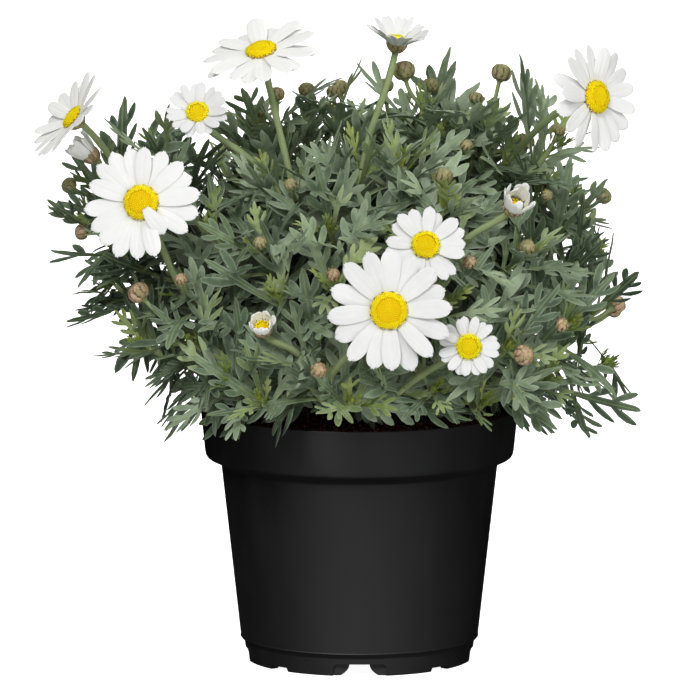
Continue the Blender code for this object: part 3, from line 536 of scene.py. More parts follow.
# The way the plant grows. Each branch leaves the woody crown as one main stem with side shoots, whose tips
# lie on a dome. The front ones are placed as they are seen, in millimetres to the right of the axis and up,
# and the back ones stand in rows. Everything that grows on a shoot follows its route.
CROWN_CENTRE = Vector((0, 0, 124))
CROWN_REACH = 20.0
DOME_CENTRE = Vector((0, 0, 130))
DOME_RADII = Vector((110, 104, 118))
FRONT_BRANCHES = [
    [(-31, 221), (-43, 226), (-48, 249)],
    [(1, 229), (-12, 256), (-14, 200)],
    [(24, 197), (19, 228), (39, 211)],
    [(69, 233), (91, 242), (85, 215)],
    [(-103, 215), (-122, 223), (-92, 235)],
    [(-82, 172), (-68, 200)],
    [(-15, 130), (-28, 143), (-4, 121)],
    [(21, 128), (34, 127), (38, 164)],
    [(48, 195), (76, 190)],
    [(-46, 192)],
    [(53, 235), (38, 245), (30, 258), (60, 247)],
    [(97, 156), (122, 171), (106, 189), (99, 208)],
    [(68, 145), (84, 131), (57, 120), (114, 138)],
    [(-61, 131), (-45, 121)],
    [(-77, 148), (-100, 148)],
    [(-127, 204), (-115, 176)],
    [(-12, 174), (-37, 169)],
]
BACK_AZIMUTHS = (30, 60, 91, 121, 151)
BACK_RISES = (10, 30, 50, 69)
BACK_STAGGER = 9
BACK_TURN_SPREAD, BACK_RISE_SPREAD = 4, 3
ROUTE_STEPS = 24
ROUTE_PULL = 0.36
AIM_UPWARD = 0.18
FIRST_FORK, FORK_GAP = 0.62, 0.10
TIP_UPRIGHT, TIP_UPRIGHT_FALL = 0.75, 0.4
LEAN_TO_DAISY = 1.6

# Daisies: across, up and depth of the disc's middle, azimuth and rise of the face, reach and width of a
# petal, disc radius, degrees that the petals rise off the face, petals (directions or number), and the
# branch and the shoot that bear it
Daisy = namedtuple("Daisy", "place facing reach width disc cup petals bearer")
DAISIES = {
    "bloom_01": Daisy((-46, 285, -20), (-117, 66), 28.0, 9.6, 7.0, 4, 18, (0, 0)),
    "bloom_02": Daisy((17.7, 290, 6), (-60, 72), 17.5, 4.2, 5.0, 42, 22, (1, 0)),
    "bloom_03": Daisy((110.4, 263.5, -26), (-44, 10), 26.5, 7.8, 7.5, 3, (
        5, 24, 45, 66, 86, 108, 130, 152, 170, 190, 212, 234, 254, 276, 298, 320, 340), (3, 0)),
    "bloom_04": Daisy((-134.2, 254, -12), (-162, 37), 25.0, 7.2, 5.6, 17, 20, (4, 0)),
    "bloom_05": Daisy((-75.7, 256, -34), (-95, 34), 15.5, 4.9, 5.0, 24, 18, (0, 1)),
    "bloom_06": Daisy((-101.4, 213.7, -64), (-100, 15), 27.6, 8.4, 8.0, 5, (
        10, 29, 46, 68, 89, 105, 124, 142, 162, 188, 209, 227, 247, 268, 288, 309, 330, 350), (5, 0)),
    "bloom_07": Daisy((30.4, 193.4, -102), (-86, 30), 19.5, 6.6, 6.4, 6, 17, (2, 0)),
    "bloom_08": Daisy((13.4, 163.3, -124), (-90, 12), 29.4, 9.4, 8.5, 3, (
        2, 21, 42, 65, 88, 110, 133, 159, 186, 207, 231, 254, 273, 292, 313, 338), (6, 0)),
    "bloom_09": Daisy((50.2, 146.7, -114), (-85, 12), 14.4, 4.7, 5.6, 4, 19, (7, 0)),
    "opening_01": Daisy((-45, 155.7, -96), (-100, 46), 7.0, 4.0, 3.0, 66, 13, (6, 1)),
    "opening_02": Daisy((71.9, 212.5, -66), (-70, 36), 8.6, 4.2, 2.6, 74, 14, (8, 0)),
    "opening_03": Daisy((-127, 237.5, 0), (-170, 40), 13.0, 3.4, 2.8, 62, 14, (4, 1)),
}


def route(start, start_way, end, end_way):
    """Points along a smooth curve that leaves and arrives in the given directions."""
    reach = (end - start).length * ROUTE_PULL
    a, b = start + start_way * reach, end - end_way * reach
    points = []
    for i in range(ROUTE_STEPS + 1):
        t = i / ROUTE_STEPS
        s = 1 - t
        points.append(start * s**3 + a * (3 * s * s * t) + b * (3 * s * t * t) + end * t**3)
    return points


def on_route(points, from_end):
    """The place and the direction at a distance back from a route's end."""
    for i in range(len(points) - 1, 0, -1):
        step = points[i] - points[i - 1]
        if from_end <= step.length or i == 1:
            way = step.normalized()
            return points[i] - way * min(from_end, step.length), way
        from_end -= step.length


def in_view(across, up, depth):
    """The place at a depth along Y that the front shows at these millimetres across and up."""
    return Vector((across, depth, (up - depth * math.sin(VIEW_TILT)) / math.cos(VIEW_TILT)))


def shrunk(vector, radii):
    """A vector with each number divided by its radius."""
    return Vector([number / radius for number, radius in zip(vector, radii)])


def on_dome(across, up, proud=0.0):
    """The place on the dome, or outside it, that the front shows at these millimetres across and up."""
    view = -back
    radii = DOME_RADII + Vector((proud, proud, proud))
    start = in_view(across, up, 0)
    place, way = shrunk(start - DOME_CENTRE, radii), shrunk(view, radii)
    a, b, c = way.dot(way), 2 * place.dot(way), place.dot(place) - 1
    inside = b * b - 4 * a * c
    return start + view * (-(b + math.sqrt(max(inside, 0))) / (2 * a))


def direction(azimuth, rise):
    """A unit direction from two angles in degrees."""
    a, b = math.radians(azimuth), math.radians(rise)
    return Vector((math.cos(a) * math.cos(b), math.sin(a) * math.cos(b), math.sin(b)))


def shoot_tips():
    """The tips of every branch's shoots: the front ones as seen, the back ones in rows over the dome."""
    branches = [[on_dome(*tip) for tip in tips] for tips in FRONT_BRANCHES]
    for azimuth in BACK_AZIMUTHS:
        tips = []
        for row, rise in enumerate(BACK_RISES):
            draw = random.Random(azimuth * 10 + row)
            turn = BACK_STAGGER if row % 2 else -BACK_STAGGER
            turn += draw.uniform(-BACK_TURN_SPREAD, BACK_TURN_SPREAD)
            rise += draw.uniform(-BACK_RISE_SPREAD, BACK_RISE_SPREAD)
            tips.append(DOME_CENTRE + direction(azimuth + turn, rise) * DOME_RADII)
        branches.append([tips[1], tips[0], tips[2], tips[3]])
    return branches


def tip_way(tip):
    """The direction in which a shoot ends: out of the dome, and more upright, the lowest ones most."""
    out = shrunk(tip - DOME_CENTRE, DOME_RADII)
    return (out + UP * (TIP_UPRIGHT - TIP_UPRIGHT_FALL * min(1.0, max(0.0, out.z)))).normalized()


def shoot_ways(branches):
    """The directions in which the shoots end: one that bears a daisy leans towards it."""
    ways = [[tip_way(tip) for tip in tips] for tips in branches]
    for daisy in DAISIES.values():
        branch, shoot = daisy.bearer
        lean = (in_view(*daisy.place) - branches[branch][shoot]).normalized()
        ways[branch][shoot] = (ways[branch][shoot] + lean * LEAN_TO_DAISY).normalized()
    return ways


def branch_routes(tips, ways):
    """The routes of a branch's main stem, from the end of its stub on the crown, and of its side shoots,
    and the direction of the stub.
    """
    aim = (sum(tips, Vector()) / len(tips) - CROWN_CENTRE).normalized()
    aim = (aim + UP * AIM_UPWARD).normalized()
    start = CROWN_CENTRE + aim * (CROWN_REACH + CLEAR)
    main = route(start, aim, tips[0], ways[0])
    routes = [main]
    length = (tips[0] - start).length
    for k, tip in enumerate(tips[1:]):
        fork, way = on_route(main, length * (FIRST_FORK - FORK_GAP * k))
        routes.append(route(fork, (way * 2 + (tip - fork).normalized()).normalized(), tip, ways[k + 1]))
    return routes, aim


tips = shoot_tips()
routes, aims = zip(*[branch_routes(*branch) for branch in zip(tips, shoot_ways(tips))])
bearers = {daisy.bearer for daisy in DAISIES.values()}


# The crown is the short woody base of the plant: a trunk rooted in the peat, a knob, and the stubs that the
# branches grow from. The stems are soft wood below and green above, and ribbed.
STUB_RADIUS = 1.9
STUB_START = 6.0
STUB_STEPS = 6
STUB_SWELL = 0.35
SIDE_SHOOT_RADIUS = 1.7
TIP_RADIUS = 1.35
CROWN_PROFILE = ((84, 4.8), (92, 5.6), (100, 6.0), (110, 6.2), (116, 6.4), (119.5, 8.6), (122, 10.0),
                 (124, 10.5), (127, 10.2), (129.5, 9.0), (132, 6.0), (134, 1.0))

tree, given = new_tree("stems_from_routes", {"Sides": 14, "Ribs": 5, "Rib Depth": 0.05})
circle = wire(tree, "GeometryNodeCurvePrimitiveCircle", {"Resolution": given["Sides"], "Radius": 1.0})
spot = wire(tree, "GeometryNodeInputPosition")
x, y, _ = split(spot)
wave = (y.maths("ARCTAN2", x) * given["Ribs"]).maths("COSINE")
profile = wire(tree, "GeometryNodeSetPosition", {
    "Geometry": circle, "Position": spot * (wave * given["Rib Depth"] + 1.0)})
tube = wire(tree, "GeometryNodeCurveToMesh", {
    "Curve": wire(tree, "GeometryNodeMeshToCurve", {0: given["Geometry"]}), "Profile Curve": profile,
    "Scale": named(tree, "thick", "FLOAT"), "Fill Caps": True})
stem_tree = end_tree(tree, given, wire(tree, "GeometryNodeSetShadeSmooth", {0: tube}))


def keep(mesh, label, kind, values):
    """Gives each point of a mesh its value, a number or a vector."""
    if kind == "FLOAT_VECTOR":
        values = [number for value in values for number in value]
    field = "vector" if kind == "FLOAT_VECTOR" else "value"
    mesh.attributes.new(label, kind, "POINT").data.foreach_set(field, values)


def line_mesh(lines):
    """A mesh of polylines, each a list of points in millimetres with a radius and an age at each."""
    mesh = bpy.data.meshes.new("lines")
    points, edges, radii, ages = [], [], [], []
    for line in lines:
        edges += [(len(points) + i, len(points) + i + 1) for i in range(len(line) - 1)]
        for point, radius, age in line:
            points.append(in_place(point))
            radii.append(radius * MM)
            ages.append(age)
    mesh.from_pydata(points, edges, [])
    keep(mesh, "thick", "FLOAT", radii)
    keep(mesh, "age", "FLOAT", ages)
    return mesh


def blend(factor, first, second):
    """The colour between two others by a factor."""
    return wire(factor.tree, "ShaderNodeMix", {0: factor, 6: first, 7: second}, output=2, data_type="RGBA")


def stem_look(name, roughness, stops):
    """Stem skin with streaks along it, from the colours for its ages, the oldest first."""
    made, tree, shader = new_material(name, roughness, 0.3)
    fine, coarse = grained(tree, 1300, 160, (1, 1, 0.25))
    age = carried(tree, "age") + coarse.maths("MULTIPLY_ADD", 0.4, -0.2)
    finish_look(shader, blend(fine * 0.5, ramp(age, stops), (0.34, 0.36, 0.22, 1)), fine, 0.5, 0.0003)
    return made


bark = stem_look("crown_bark", 0.85, [
    (0.0, (0.055, 0.036, 0.020)), (0.5, (0.12, 0.085, 0.05)), (1, (0.16, 0.14, 0.08))])
stem_skin = stem_look("stem_skin", 0.6, [
    (0.0, (0.10, 0.072, 0.04)), (0.35, (0.12, 0.13, 0.06)), (0.7, (0.12, 0.18, 0.08)),
    (1.0, (0.24, 0.32, 0.11))])

crown_lines = [[(Vector((0.5 * math.sin(height * 0.3), 0.4 * math.cos(height * 0.2), height)), radius, 0.2)
                for height, radius in CROWN_PROFILE]]
for aim in aims:
    crown_lines.append([])
    for step in range(STUB_STEPS + 1):
        spot = CROWN_CENTRE + aim * (STUB_START + (CROWN_REACH - STUB_START) * step / STUB_STEPS)
        radius = STUB_RADIUS * (1 + STUB_SWELL - STUB_SWELL * step / STUB_STEPS)
        crown_lines[-1].append((spot, radius, 0.3 + 0.1 * step))
crown = made_by(stem_tree, "crown_wood", line_mesh(crown_lines), bark, {"Rib Depth": 0.09, "Ribs": 4})
hand_over(crown, "crown")

for number, shoots in enumerate(routes, 1):
    lines = []
    for k, points in enumerate(shoots):
        base, start_age = (SIDE_SHOOT_RADIUS, 0.45) if k else (STUB_RADIUS, 0.0)
        last = len(points) - 1
        lines.append([(point, base + (TIP_RADIUS - base) * i / last, start_age + (1 - start_age) * i / last)
                      for i, point in enumerate(points)])
    stems = made_by(stem_tree, f"stems_{number:02d}", line_mesh(lines), stem_skin, {})
    hand_over(stems, f"branch_{number:02d}")


# The leaves are cut nearly to the rib into pairs of forward lobes, and the end lobe is often three-toothed.
# They stand in a spiral on each shoot, blue-green with a pale bloom of wax, and the youngest ones are small
# and yellow.
BROAD, LONG, YOUNG, FORK = range(4)
LEAVES_ON_A_SHOOT = 23
YOUNG_LEAVES = 9
LEAF_VARIANTS = 4
LEAF_THICKNESS = 1.0
LEAF_WAVE = 4.0
LEAF_FOOT_OFFSET = 0.35
LEAF_SEEKS_LIGHT = Vector((0, -0.45, 0.5))
GOLDEN_TURN = 137.508
FLAT = 0.01

# Lobes of the right half: where on the rib they start and end, and the tip across and along, all as shares
# of the leaf's length, and their width
LEAF_LOBES = {
    BROAD: [(0.44, 0.53, 0.205, 0.760, 0.082), (0.68, 0.77, 0.155, 0.955, 0.076)],
    LONG: [(0.36, 0.43, 0.150, 0.580, 0.060), (0.53, 0.60, 0.190, 0.800, 0.070),
           (0.72, 0.79, 0.130, 0.960, 0.064)],
    YOUNG: [(0.40, 0.54, 0.150, 0.76, 0.080), (0.66, 0.78, 0.100, 0.95, 0.066)],
    FORK: [(0.60, 0.70, 0.190, 0.945, 0.088)],
}
LOBE_ROWS = ((0.36, 0.98), (0.68, 0.98), (0.90, 0.56))
LOBE_HEIGHTS = (0.5, 0.42, 0.26)
FOOT_ROWS = (0.0, 0.11, 0.22)
END_ROWS = ((0.36, 0.86), (0.72, 0.72), (0.92, 0.38))
RIB_FOOT_HALF_WIDTH = 0.020
RIB_HALF_WIDTH = 0.045
RIB_HEIGHT, RIB_FOOT_HEIGHT, ROOT_HEIGHT = 0.34, 0.45, 0.5

# How far the left half of a leaf lags behind the right one, how its lobes differ, and where they bend
LEFT_LAG = (-0.02, 0.12)
LOBE_REACHES, LOBE_RISES, LOBE_WIDTHS = (0.66, 1.14), (0.95, 1.04), (0.9, 1.1)
BEND_ACROSS, BEND_ALONG = 0.55, 0.32


class Blade:
    """A flat closed shape in the making: its two faces share the outline and stand apart inside it."""

    def __init__(self):
        self.points, self.edges, self.faces, self.numbers = [], [], [], {}

    def point(self, key, x, y, high, low, edge):
        """A named point: one on the outline, where high is 0, or else one above and one below."""
        self.numbers[key] = len(self.points), len(self.points) + (1 if high else 0)
        for height in (high, low) if high else (0,):
            self.points.append((x, y, height))
            self.edges.append(edge)

    def face(self, keys, right=True):
        """The upper and the lower face between named points, which run clockwise on the left half."""
        for side, forward in ((0, right), (1, not right)):
            corners = [self.numbers[key][side] for key in keys]
            self.faces.append(tuple(corners if forward else reversed(corners)))


def unit_shape(name, points, edges, faces):
    """A shape to be grown many times: it keeps its flat places and how near the outline each one is."""
    made = new_object(name, points, faces)
    mesh = made.data
    keep(mesh, "flat", "FLOAT_VECTOR", points)
    keep(mesh, "edge", "FLOAT", edges)
    mesh.shade_smooth()
    rim = mesh.attributes.new("sharp_edge", "BOOLEAN", "EDGE").data
    for line in mesh.edges:
        rim[line.index].value = all(edges[v] == 1.0 for v in line.vertices)
    return made


def rib_half_width(along):
    """Half the width of a leaf's strap: narrow at its foot and broad from its middle on."""
    share = min(1.0, max(0.0, (along - 0.08) / 0.40))
    return RIB_FOOT_HALF_WIDTH + (RIB_HALF_WIDTH - RIB_FOOT_HALF_WIDTH) * share * share * (3 - 2 * share)


def lobe_rows(root, tip, width):
    """Low edge, middle and high edge of a lobe at its rows: it leaves the rib sideways and turns forward."""
    bend = Vector((root.x + BEND_ACROSS * (tip.x - root.x), root.y + BEND_ALONG * (tip.y - root.y)))
    rows = []
    for t, share in LOBE_ROWS:
        s = 1 - t
        middle = root * s * s + bend * (2 * s * t) + tip * t * t
        way = ((bend - root) * s + (tip - bend) * t).normalized()
        square = Vector((-way.y, way.x)) * width / 2 * share
        rows.append((middle - square, middle, middle + square))
    return rows


def leaf_shape(name, lobes, seed):
    """A flat leaf one unit long: a rib with rows of points on each side, and the lobes that leave it."""
    draw = random.Random(seed)
    leaf = Blade()
    ribs = list(FOOT_ROWS)
    for start, end, *_ in lobes:
        ribs += [start, (start + end) / 2, end]
    roots = range(len(FOOT_ROWS) + 1, len(ribs), 3)
    rows = [(y, rib_half_width(y)) for y in ribs]
    last = lobes[-1][1]
    rows += [(last + share * (1 - last), rib_half_width(last) * width) for share, width in END_ROWS]
    for row, (y, _) in enumerate(rows):
        high = RIB_HEIGHT if row else RIB_FOOT_HEIGHT
        leaf.point(("rib", row), 0, y, high, -high, 0.0)
    leaf.point("tip", 0, 1, 0, 0, 1.0)
    for right in (True, False):
        sign = 1 if right else -1
        lag = 0 if right else draw.uniform(*LEFT_LAG)
        for row, (y, half) in enumerate(rows):
            high = ROOT_HEIGHT if row in roots else 0
            leaf.point((right, row), sign * half, y * (1 - lag), high, -high, 0.0 if high else 1.0)
        for row in range(len(rows) - 1):
            leaf.face([("rib", row), (right, row), (right, row + 1), ("rib", row + 1)], right)
        leaf.face([("rib", len(rows) - 1), (right, len(rows) - 1), "tip"], right)
        for lobe, (start, end, across, along, width) in enumerate(lobes):
            root = Vector((rib_half_width((start + end) / 2), (start + end) / 2))
            reach = draw.uniform(*LOBE_REACHES)
            tip = Vector((across * reach, root.y + (along - root.y) * reach * draw.uniform(*LOBE_RISES)))
            chain = [[(right, roots[lobe] + column) for column in (-1, 0, 1)]]
            for r, places in enumerate(lobe_rows(root, tip, width * draw.uniform(*LOBE_WIDTHS))):
                chain.append([])
                for column, place in enumerate(places):
                    key, high = (right, lobe, r, column), LOBE_HEIGHTS[r] if column == 1 else 0
                    leaf.point(key, sign * place.x, place.y * (1 - lag), high, -high, 0.0 if high else 1.0)
                    chain[-1].append(key)
            for low, high in zip(chain, chain[1:]):
                leaf.face([low[0], high[0], high[1], low[1]], right)
                leaf.face([low[1], high[1], high[2], low[2]], right)
            end_key = (right, lobe, "end")
            leaf.point(end_key, sign * tip.x, tip.y * (1 - lag), 0, 0, 1.0)
            leaf.face([chain[-1][0], end_key, chain[-1][1]], right)
            leaf.face([chain[-1][1], end_key, chain[-1][2]], right)
    rib_high, rib_low = leaf.numbers["rib", 0]
    leaf.faces.append((leaf.numbers[True, 0][0], rib_high, leaf.numbers[False, 0][0], rib_low))
    return unit_shape(name, leaf.points, leaf.edges, leaf.faces)


def shape_set(name, shapes):
    """The unit shapes as a collection, from which each point picks one by its kind."""
    group = bpy.data.collections.new(name)
    bpy.context.scene.collection.children.link(group)
    for made in shapes:
        bpy.context.scene.collection.objects.unlink(made)
        group.objects.link(made)
    return group


leaf_set = shape_set("leaf_shapes", [
    leaf_shape(f"leaf_shape_{kind}{variant}", lobes, 10 * kind + variant)
    for kind, lobes in LEAF_LOBES.items() for variant in range(LEAF_VARIANTS)])

# Grows a shape at each point: its length follows the way, arches away from the face and twists, its breadth
# curls and its surface waves, so flat shapes become leaves, bracts, petals and florets.
tree, given = new_tree("grown_from_points", {
    "Shapes": "NodeSocketCollection", "Wave": 0.0, "Wave Scale": 60.0})
picked = wire(tree, "GeometryNodeCollectionInfo", {
    "Collection": given["Shapes"], "Separate Children": True, "Reset Children": True})
grown = wire(tree, "GeometryNodeInstanceOnPoints", {
    "Points": given["Geometry"], "Instance": picked, "Pick Instance": True,
    "Instance Index": named(tree, "kind", "INT")})
solid = wire(tree, "GeometryNodeRealizeInstances", {0: grown})
flat_x, flat_y, flat_z = split(named(tree, "flat"))
breadth, length, thickness = split(named(tree, "size"))
arch, twist, curl = split(named(tree, "bend"))
way, face = named(tree, "way"), named(tree, "face")
angle = arch * flat_y
sine, cosine = angle.maths("SINE"), angle.maths("COSINE")
radius = length / arch
side = way.maths("CROSS_PRODUCT", face)
tilted = way * sine + face * cosine
turn = twist * flat_y
turn_sine, turn_cosine = turn.maths("SINE"), turn.maths("COSINE")
edge = side * turn_cosine + tilted * turn_sine
outward = tilted * turn_cosine - side * turn_sine
across = flat_x * breadth
ripple = wire(tree, "ShaderNodeTexNoise", {
    "Vector": wire(tree, "ShaderNodeCombineXYZ", {0: across, 1: flat_y * length}),
    "W": named(tree, "tone", "FLOAT") * 50.0, "Scale": given["Wave Scale"], "Detail": 0.0},
    noise_dimensions="4D")
lift = flat_z * thickness + across * across * curl + (ripple - 0.5) * given["Wave"] * flat_y
spot = named(tree, "place") + way * (radius * sine) + face * (radius * (cosine - 1.0))
bent = wire(tree, "GeometryNodeSetPosition", {
    "Geometry": solid, "Position": spot + edge * across + outward * lift})
grow_tree = end_tree(tree, given, bent)


def growth(place, way, face, size, kind, arch, twist=0.0, curl=0.0, youth=0.0, tone=0.5):
    """One thing to grow: sizes in millimetres, angles in radians, curl in lift per square millimetre."""
    arch = arch if abs(arch) > FLAT else FLAT
    return {"place": in_place(place), "way": way, "face": face, "size": Vector(size) * MM, "kind": kind,
            "bend": Vector((arch, twist, curl / MM)), "youth": youth, "tone": tone}


def grow(name, shapes, look, items, wave=0.0):
    """One piece made of a list's growths, from the shapes, with waves of a depth in millimetres."""
    mesh = bpy.data.meshes.new(name + "_points")
    mesh.from_pydata([item["place"] for item in items], [], [])
    for label in items[0]:
        kind = "INT" if label == "kind" else "FLOAT" if label in ("youth", "tone") else "FLOAT_VECTOR"
        keep(mesh, label, kind, [item[label] for item in items])
    return made_by(grow_tree, name, mesh, look, {"Shapes": shapes, "Wave": wave * MM})


leaf_look, tree, shader = new_material("leaf_wax", 0.5, 0.25)
fine, coarse = grained(tree, 1500, 150)
youth, tone, near_edge = (carried(tree, name) for name in ("youth", "tone", "edge"))
flat_x, flat_y, _ = split(carried(tree, "flat", "Vector"))
rib = between(flat_x.maths("ABSOLUTE"), 0.004, 0.012, 1.0, 0.0)
# The ramp's factor is the leaf's tone, which carries painted shade on deep, side and low leaves, and random
# mottle
wax_and_shade = tone * 0.55 + coarse * 0.6
green = ramp(wax_and_shade, [
    (0.28, (0.036, 0.060, 0.034)), (0.58, (0.112, 0.162, 0.093)), (0.90, (0.30, 0.375, 0.250))])
fresh = ramp(wax_and_shade, [(0.2, (0.14, 0.21, 0.010)), (0.8, (0.34, 0.42, 0.025))])
colour = blend(youth, green, fresh)
colour = blend(between(flat_y, 0.05, 0.45, 0.5, 0.0), colour, (0.21, 0.29, 0.055, 1))
# Painted highlight: a pale rim along each leaf's outline, weaker on young leaves
edge_highlight = near_edge.maths("POWER", 4.0) * youth.maths("MULTIPLY_ADD", -0.4, 0.5)
colour = blend(edge_highlight, colour, (0.42, 0.50, 0.37, 1))
colour = blend(rib * 0.35, colour, (0.30, 0.38, 0.17, 1))
finish_look(shader, colour, fine * 0.5 - rib, 0.5, 0.00015, between(coarse, 0.3, 0.7, 0.42, 0.62))

# How far left and right of the axis the leaves reach at each height in the picture: height, left, right
PLANT_SIDES = (
    (98, -100, 110), (112, -105, 135), (124, -106, 135), (131, -108, 114), (141, -126, 96),
    (158, -138, 102), (170, -142, 116), (178, -145, 143), (186, -146, 120), (200, -148, 121),
    (216, -153, 120), (234, -142, 115), (310, -120, 105),
)
LOWEST_LEAF_TIP = 113.0
LOWEST_SEEN_TIP = 102.0
DEEPEST_TIP = 125.0
OVER_POT = 8.0

# Where a shoot's leaves stand, in millimetres from its tip, also under a daisy's stalk. Their angle off the
# shoot in degrees, and their length, at the tip and what age and an upright shoot add, and then their bends
FIRST_LEAF, FIRST_LEAF_UNDER_STALK, LEAF_GAP, LEAF_GAP_GROWTH = 2.0, 5.0, 1.1, 0.085
SPREAD_AT_TIP, SPREAD_BY_AGE, SPREAD_UPRIGHT, SPREAD_UNDER_STALK = 20, 60, 8, 8
LENGTH_AT_TIP, LENGTH_BY_AGE, LENGTH_UPRIGHT, LENGTH_SPREAD = 15, 29, 4, (-5, 8)
LEAF_SWAY, LEAF_TWIST, LEAF_CURL = 9, 38, (-0.012, 0.035)
LEAST_ARCH, MOST_ARCH, MOST_SIDE_ARCH, ARCH_LENGTH = -20, 80, 40, 42
SIDE_SHOOT = 75.0
SHORT_LEAF = 20
LONG_SHARE, LONG_OR_FORK_SHARE = 0.3, 0.62
LONG_STRETCH = 1.1
SHORTENED = 0.82
LENGTH_RATE, LENGTH_POWER = 3.2, 0.8
YOUTH_AT_TIP, YOUTH_LEAVES = 0.55, 6

# The young leaves at a shoot's tip: the innermost one's place, spread, offset and length, and what each next
# one adds. Then how far they differ
YOUNG_FOOT, YOUNG_SPREAD, YOUNG_OFFSET, YOUNG_LENGTH = 0.3, 4, 0.3, 5.5
YOUNG_GAP, YOUNG_SPREAD_STEP, YOUNG_OFFSET_STEP, YOUNG_LENGTH_STEP = 0.35, 5.0, 0.05, 1.15
YOUNG_TURN_SWAY, YOUNG_SPREAD_SWAY, YOUNG_LENGTH_SWAY, YOUNG_TWIST = 10, 4, 1, 15
YOUNG_ARCH, YOUNG_CURL = (-40, -5), (0.01, 0.05)
YOUTH_FALL = 0.07


def across_axes(way):
    """Two directions square to the given one and to each other."""
    side = way.cross(UP)
    if side.length < 0.05:
        side = way.cross(Vector((1, 0, 0)))
    side.normalize()
    return side, side.cross(way)


def swung(first, second, angle):
    """The direction at an angle from the first of two square ones towards the second."""
    return first * math.cos(angle) + second * math.sin(angle)


def seen_height(point):
    """How high a point stands in the picture, in millimetres over the middle of the pot's foot."""
    return point.z * math.cos(VIEW_TILT) + point.y * math.sin(VIEW_TILT)


def is_inside(point):
    """Whether a point stands between the plant's sides at its height in the picture."""
    height = min(PLANT_SIDES[-1][0] - 0.1, max(PLANT_SIDES[0][0], seen_height(point)))
    for low, high in zip(PLANT_SIDES, PLANT_SIDES[1:]):
        if low[0] <= height < high[0]:
            share = (height - low[0]) / (high[0] - low[0])
            left, right = (low[side] + (high[side] - low[side]) * share for side in (1, 2))
            return left < point.x < right


def bend_point(plan, across, along):
    """A point of a leaf's flat outline, in millimetres, on the arched and twisted leaf in its place."""
    arch = plan["arch"] if abs(plan["arch"]) > FLAT else FLAT
    angle, radius = arch * along / plan["length"], plan["length"] / arch
    run, rise = radius * math.sin(angle), -radius * (1 - math.cos(angle))
    side = plan["way"].cross(plan["face"])
    face = swung(plan["face"], plan["way"], angle)
    twist = plan["twist"] * along / plan["length"]
    foot_place = plan["place"] + plan["way"] * run + plan["face"] * rise
    lift = plan["curl"] * across * across
    return foot_place + swung(side, face, twist) * across + swung(face, -side, twist) * lift


def fits(plan):
    """Whether a leaf's tip stays inside the plant's outline and doesn't hang below the pot's rim."""
    tip = bend_point(plan, 0, plan["length"])
    over_pot = math.hypot(tip.x, tip.y) < RIM_RADIUS + OVER_POT
    high_enough = abs(tip.y) < DEEPEST_TIP and (tip.z > LOWEST_LEAF_TIP or not over_pot)
    return high_enough and seen_height(tip) > LOWEST_SEEN_TIP and is_inside(tip)


def plan_leaves(shoot, points, bears_stalk):
    """Where a shoot's leaves stand: the youngest at its tip, small, and each next one a golden turn on.

    One that doesn't fit is made shorter, turns to the other side of the shoot, or is left out.
    """
    draw = random.Random(7000 + shoot)
    plans = []
    for k in range(LEAVES_ON_A_SHOOT):
        age = k / (LEAVES_ON_A_SHOOT - 1)
        first = FIRST_LEAF_UNDER_STALK if bears_stalk else FIRST_LEAF
        place, way = on_route(points, first + LEAF_GAP * k + LEAF_GAP_GROWTH * k * k)
        turn = math.radians(shoot * 41 + k * GOLDEN_TURN + draw.uniform(-LEAF_SWAY, LEAF_SWAY))
        outward = swung(*across_axes(way), turn)
        upright = max(0.0, way.z) ** 2
        spread = SPREAD_AT_TIP + SPREAD_BY_AGE * age**0.5 - SPREAD_UPRIGHT * upright
        spread += draw.uniform(-LEAF_SWAY, LEAF_SWAY)
        spread = math.radians(spread + (SPREAD_UNDER_STALK if bears_stalk else 0))
        length = LENGTH_AT_TIP + LENGTH_BY_AGE * min(1.0, age * LENGTH_RATE) ** LENGTH_POWER
        length += LENGTH_UPRIGHT * upright
        length += draw.uniform(*LENGTH_SPREAD)
        pick = draw.random()
        kind = LONG if pick < LONG_SHARE else FORK if pick < LONG_OR_FORK_SHARE else BROAD
        kind = YOUNG if length < SHORT_LEAF else kind
        most_arch = MOST_SIDE_ARCH if abs(place.x) > SIDE_SHOOT else MOST_ARCH
        arch = math.radians(draw.uniform(LEAST_ARCH, most_arch)) * length / ARCH_LENGTH
        twist = math.radians(draw.uniform(-LEAF_TWIST, LEAF_TWIST))
        curl = draw.uniform(*LEAF_CURL)
        for out, share in ((outward, 1.0), (outward, SHORTENED), (-outward, 1.0)):
            leaf_way = swung(way, out, spread)
            face = swung(-out, way, spread) + LEAF_SEEKS_LIGHT
            face = (face - leaf_way * face.dot(leaf_way)).normalized()
            plan = dict(place=place + out * LEAF_FOOT_OFFSET, way=leaf_way, face=face, kind=kind, arch=arch,
                        twist=twist, curl=curl, youth=max(0.0, YOUTH_AT_TIP - k / YOUTH_LEAVES), age=age,
                        length=length * share * (LONG_STRETCH if kind == LONG else 1.0))
            if fits(plan):
                plans.append(plan)
                break
    return plans


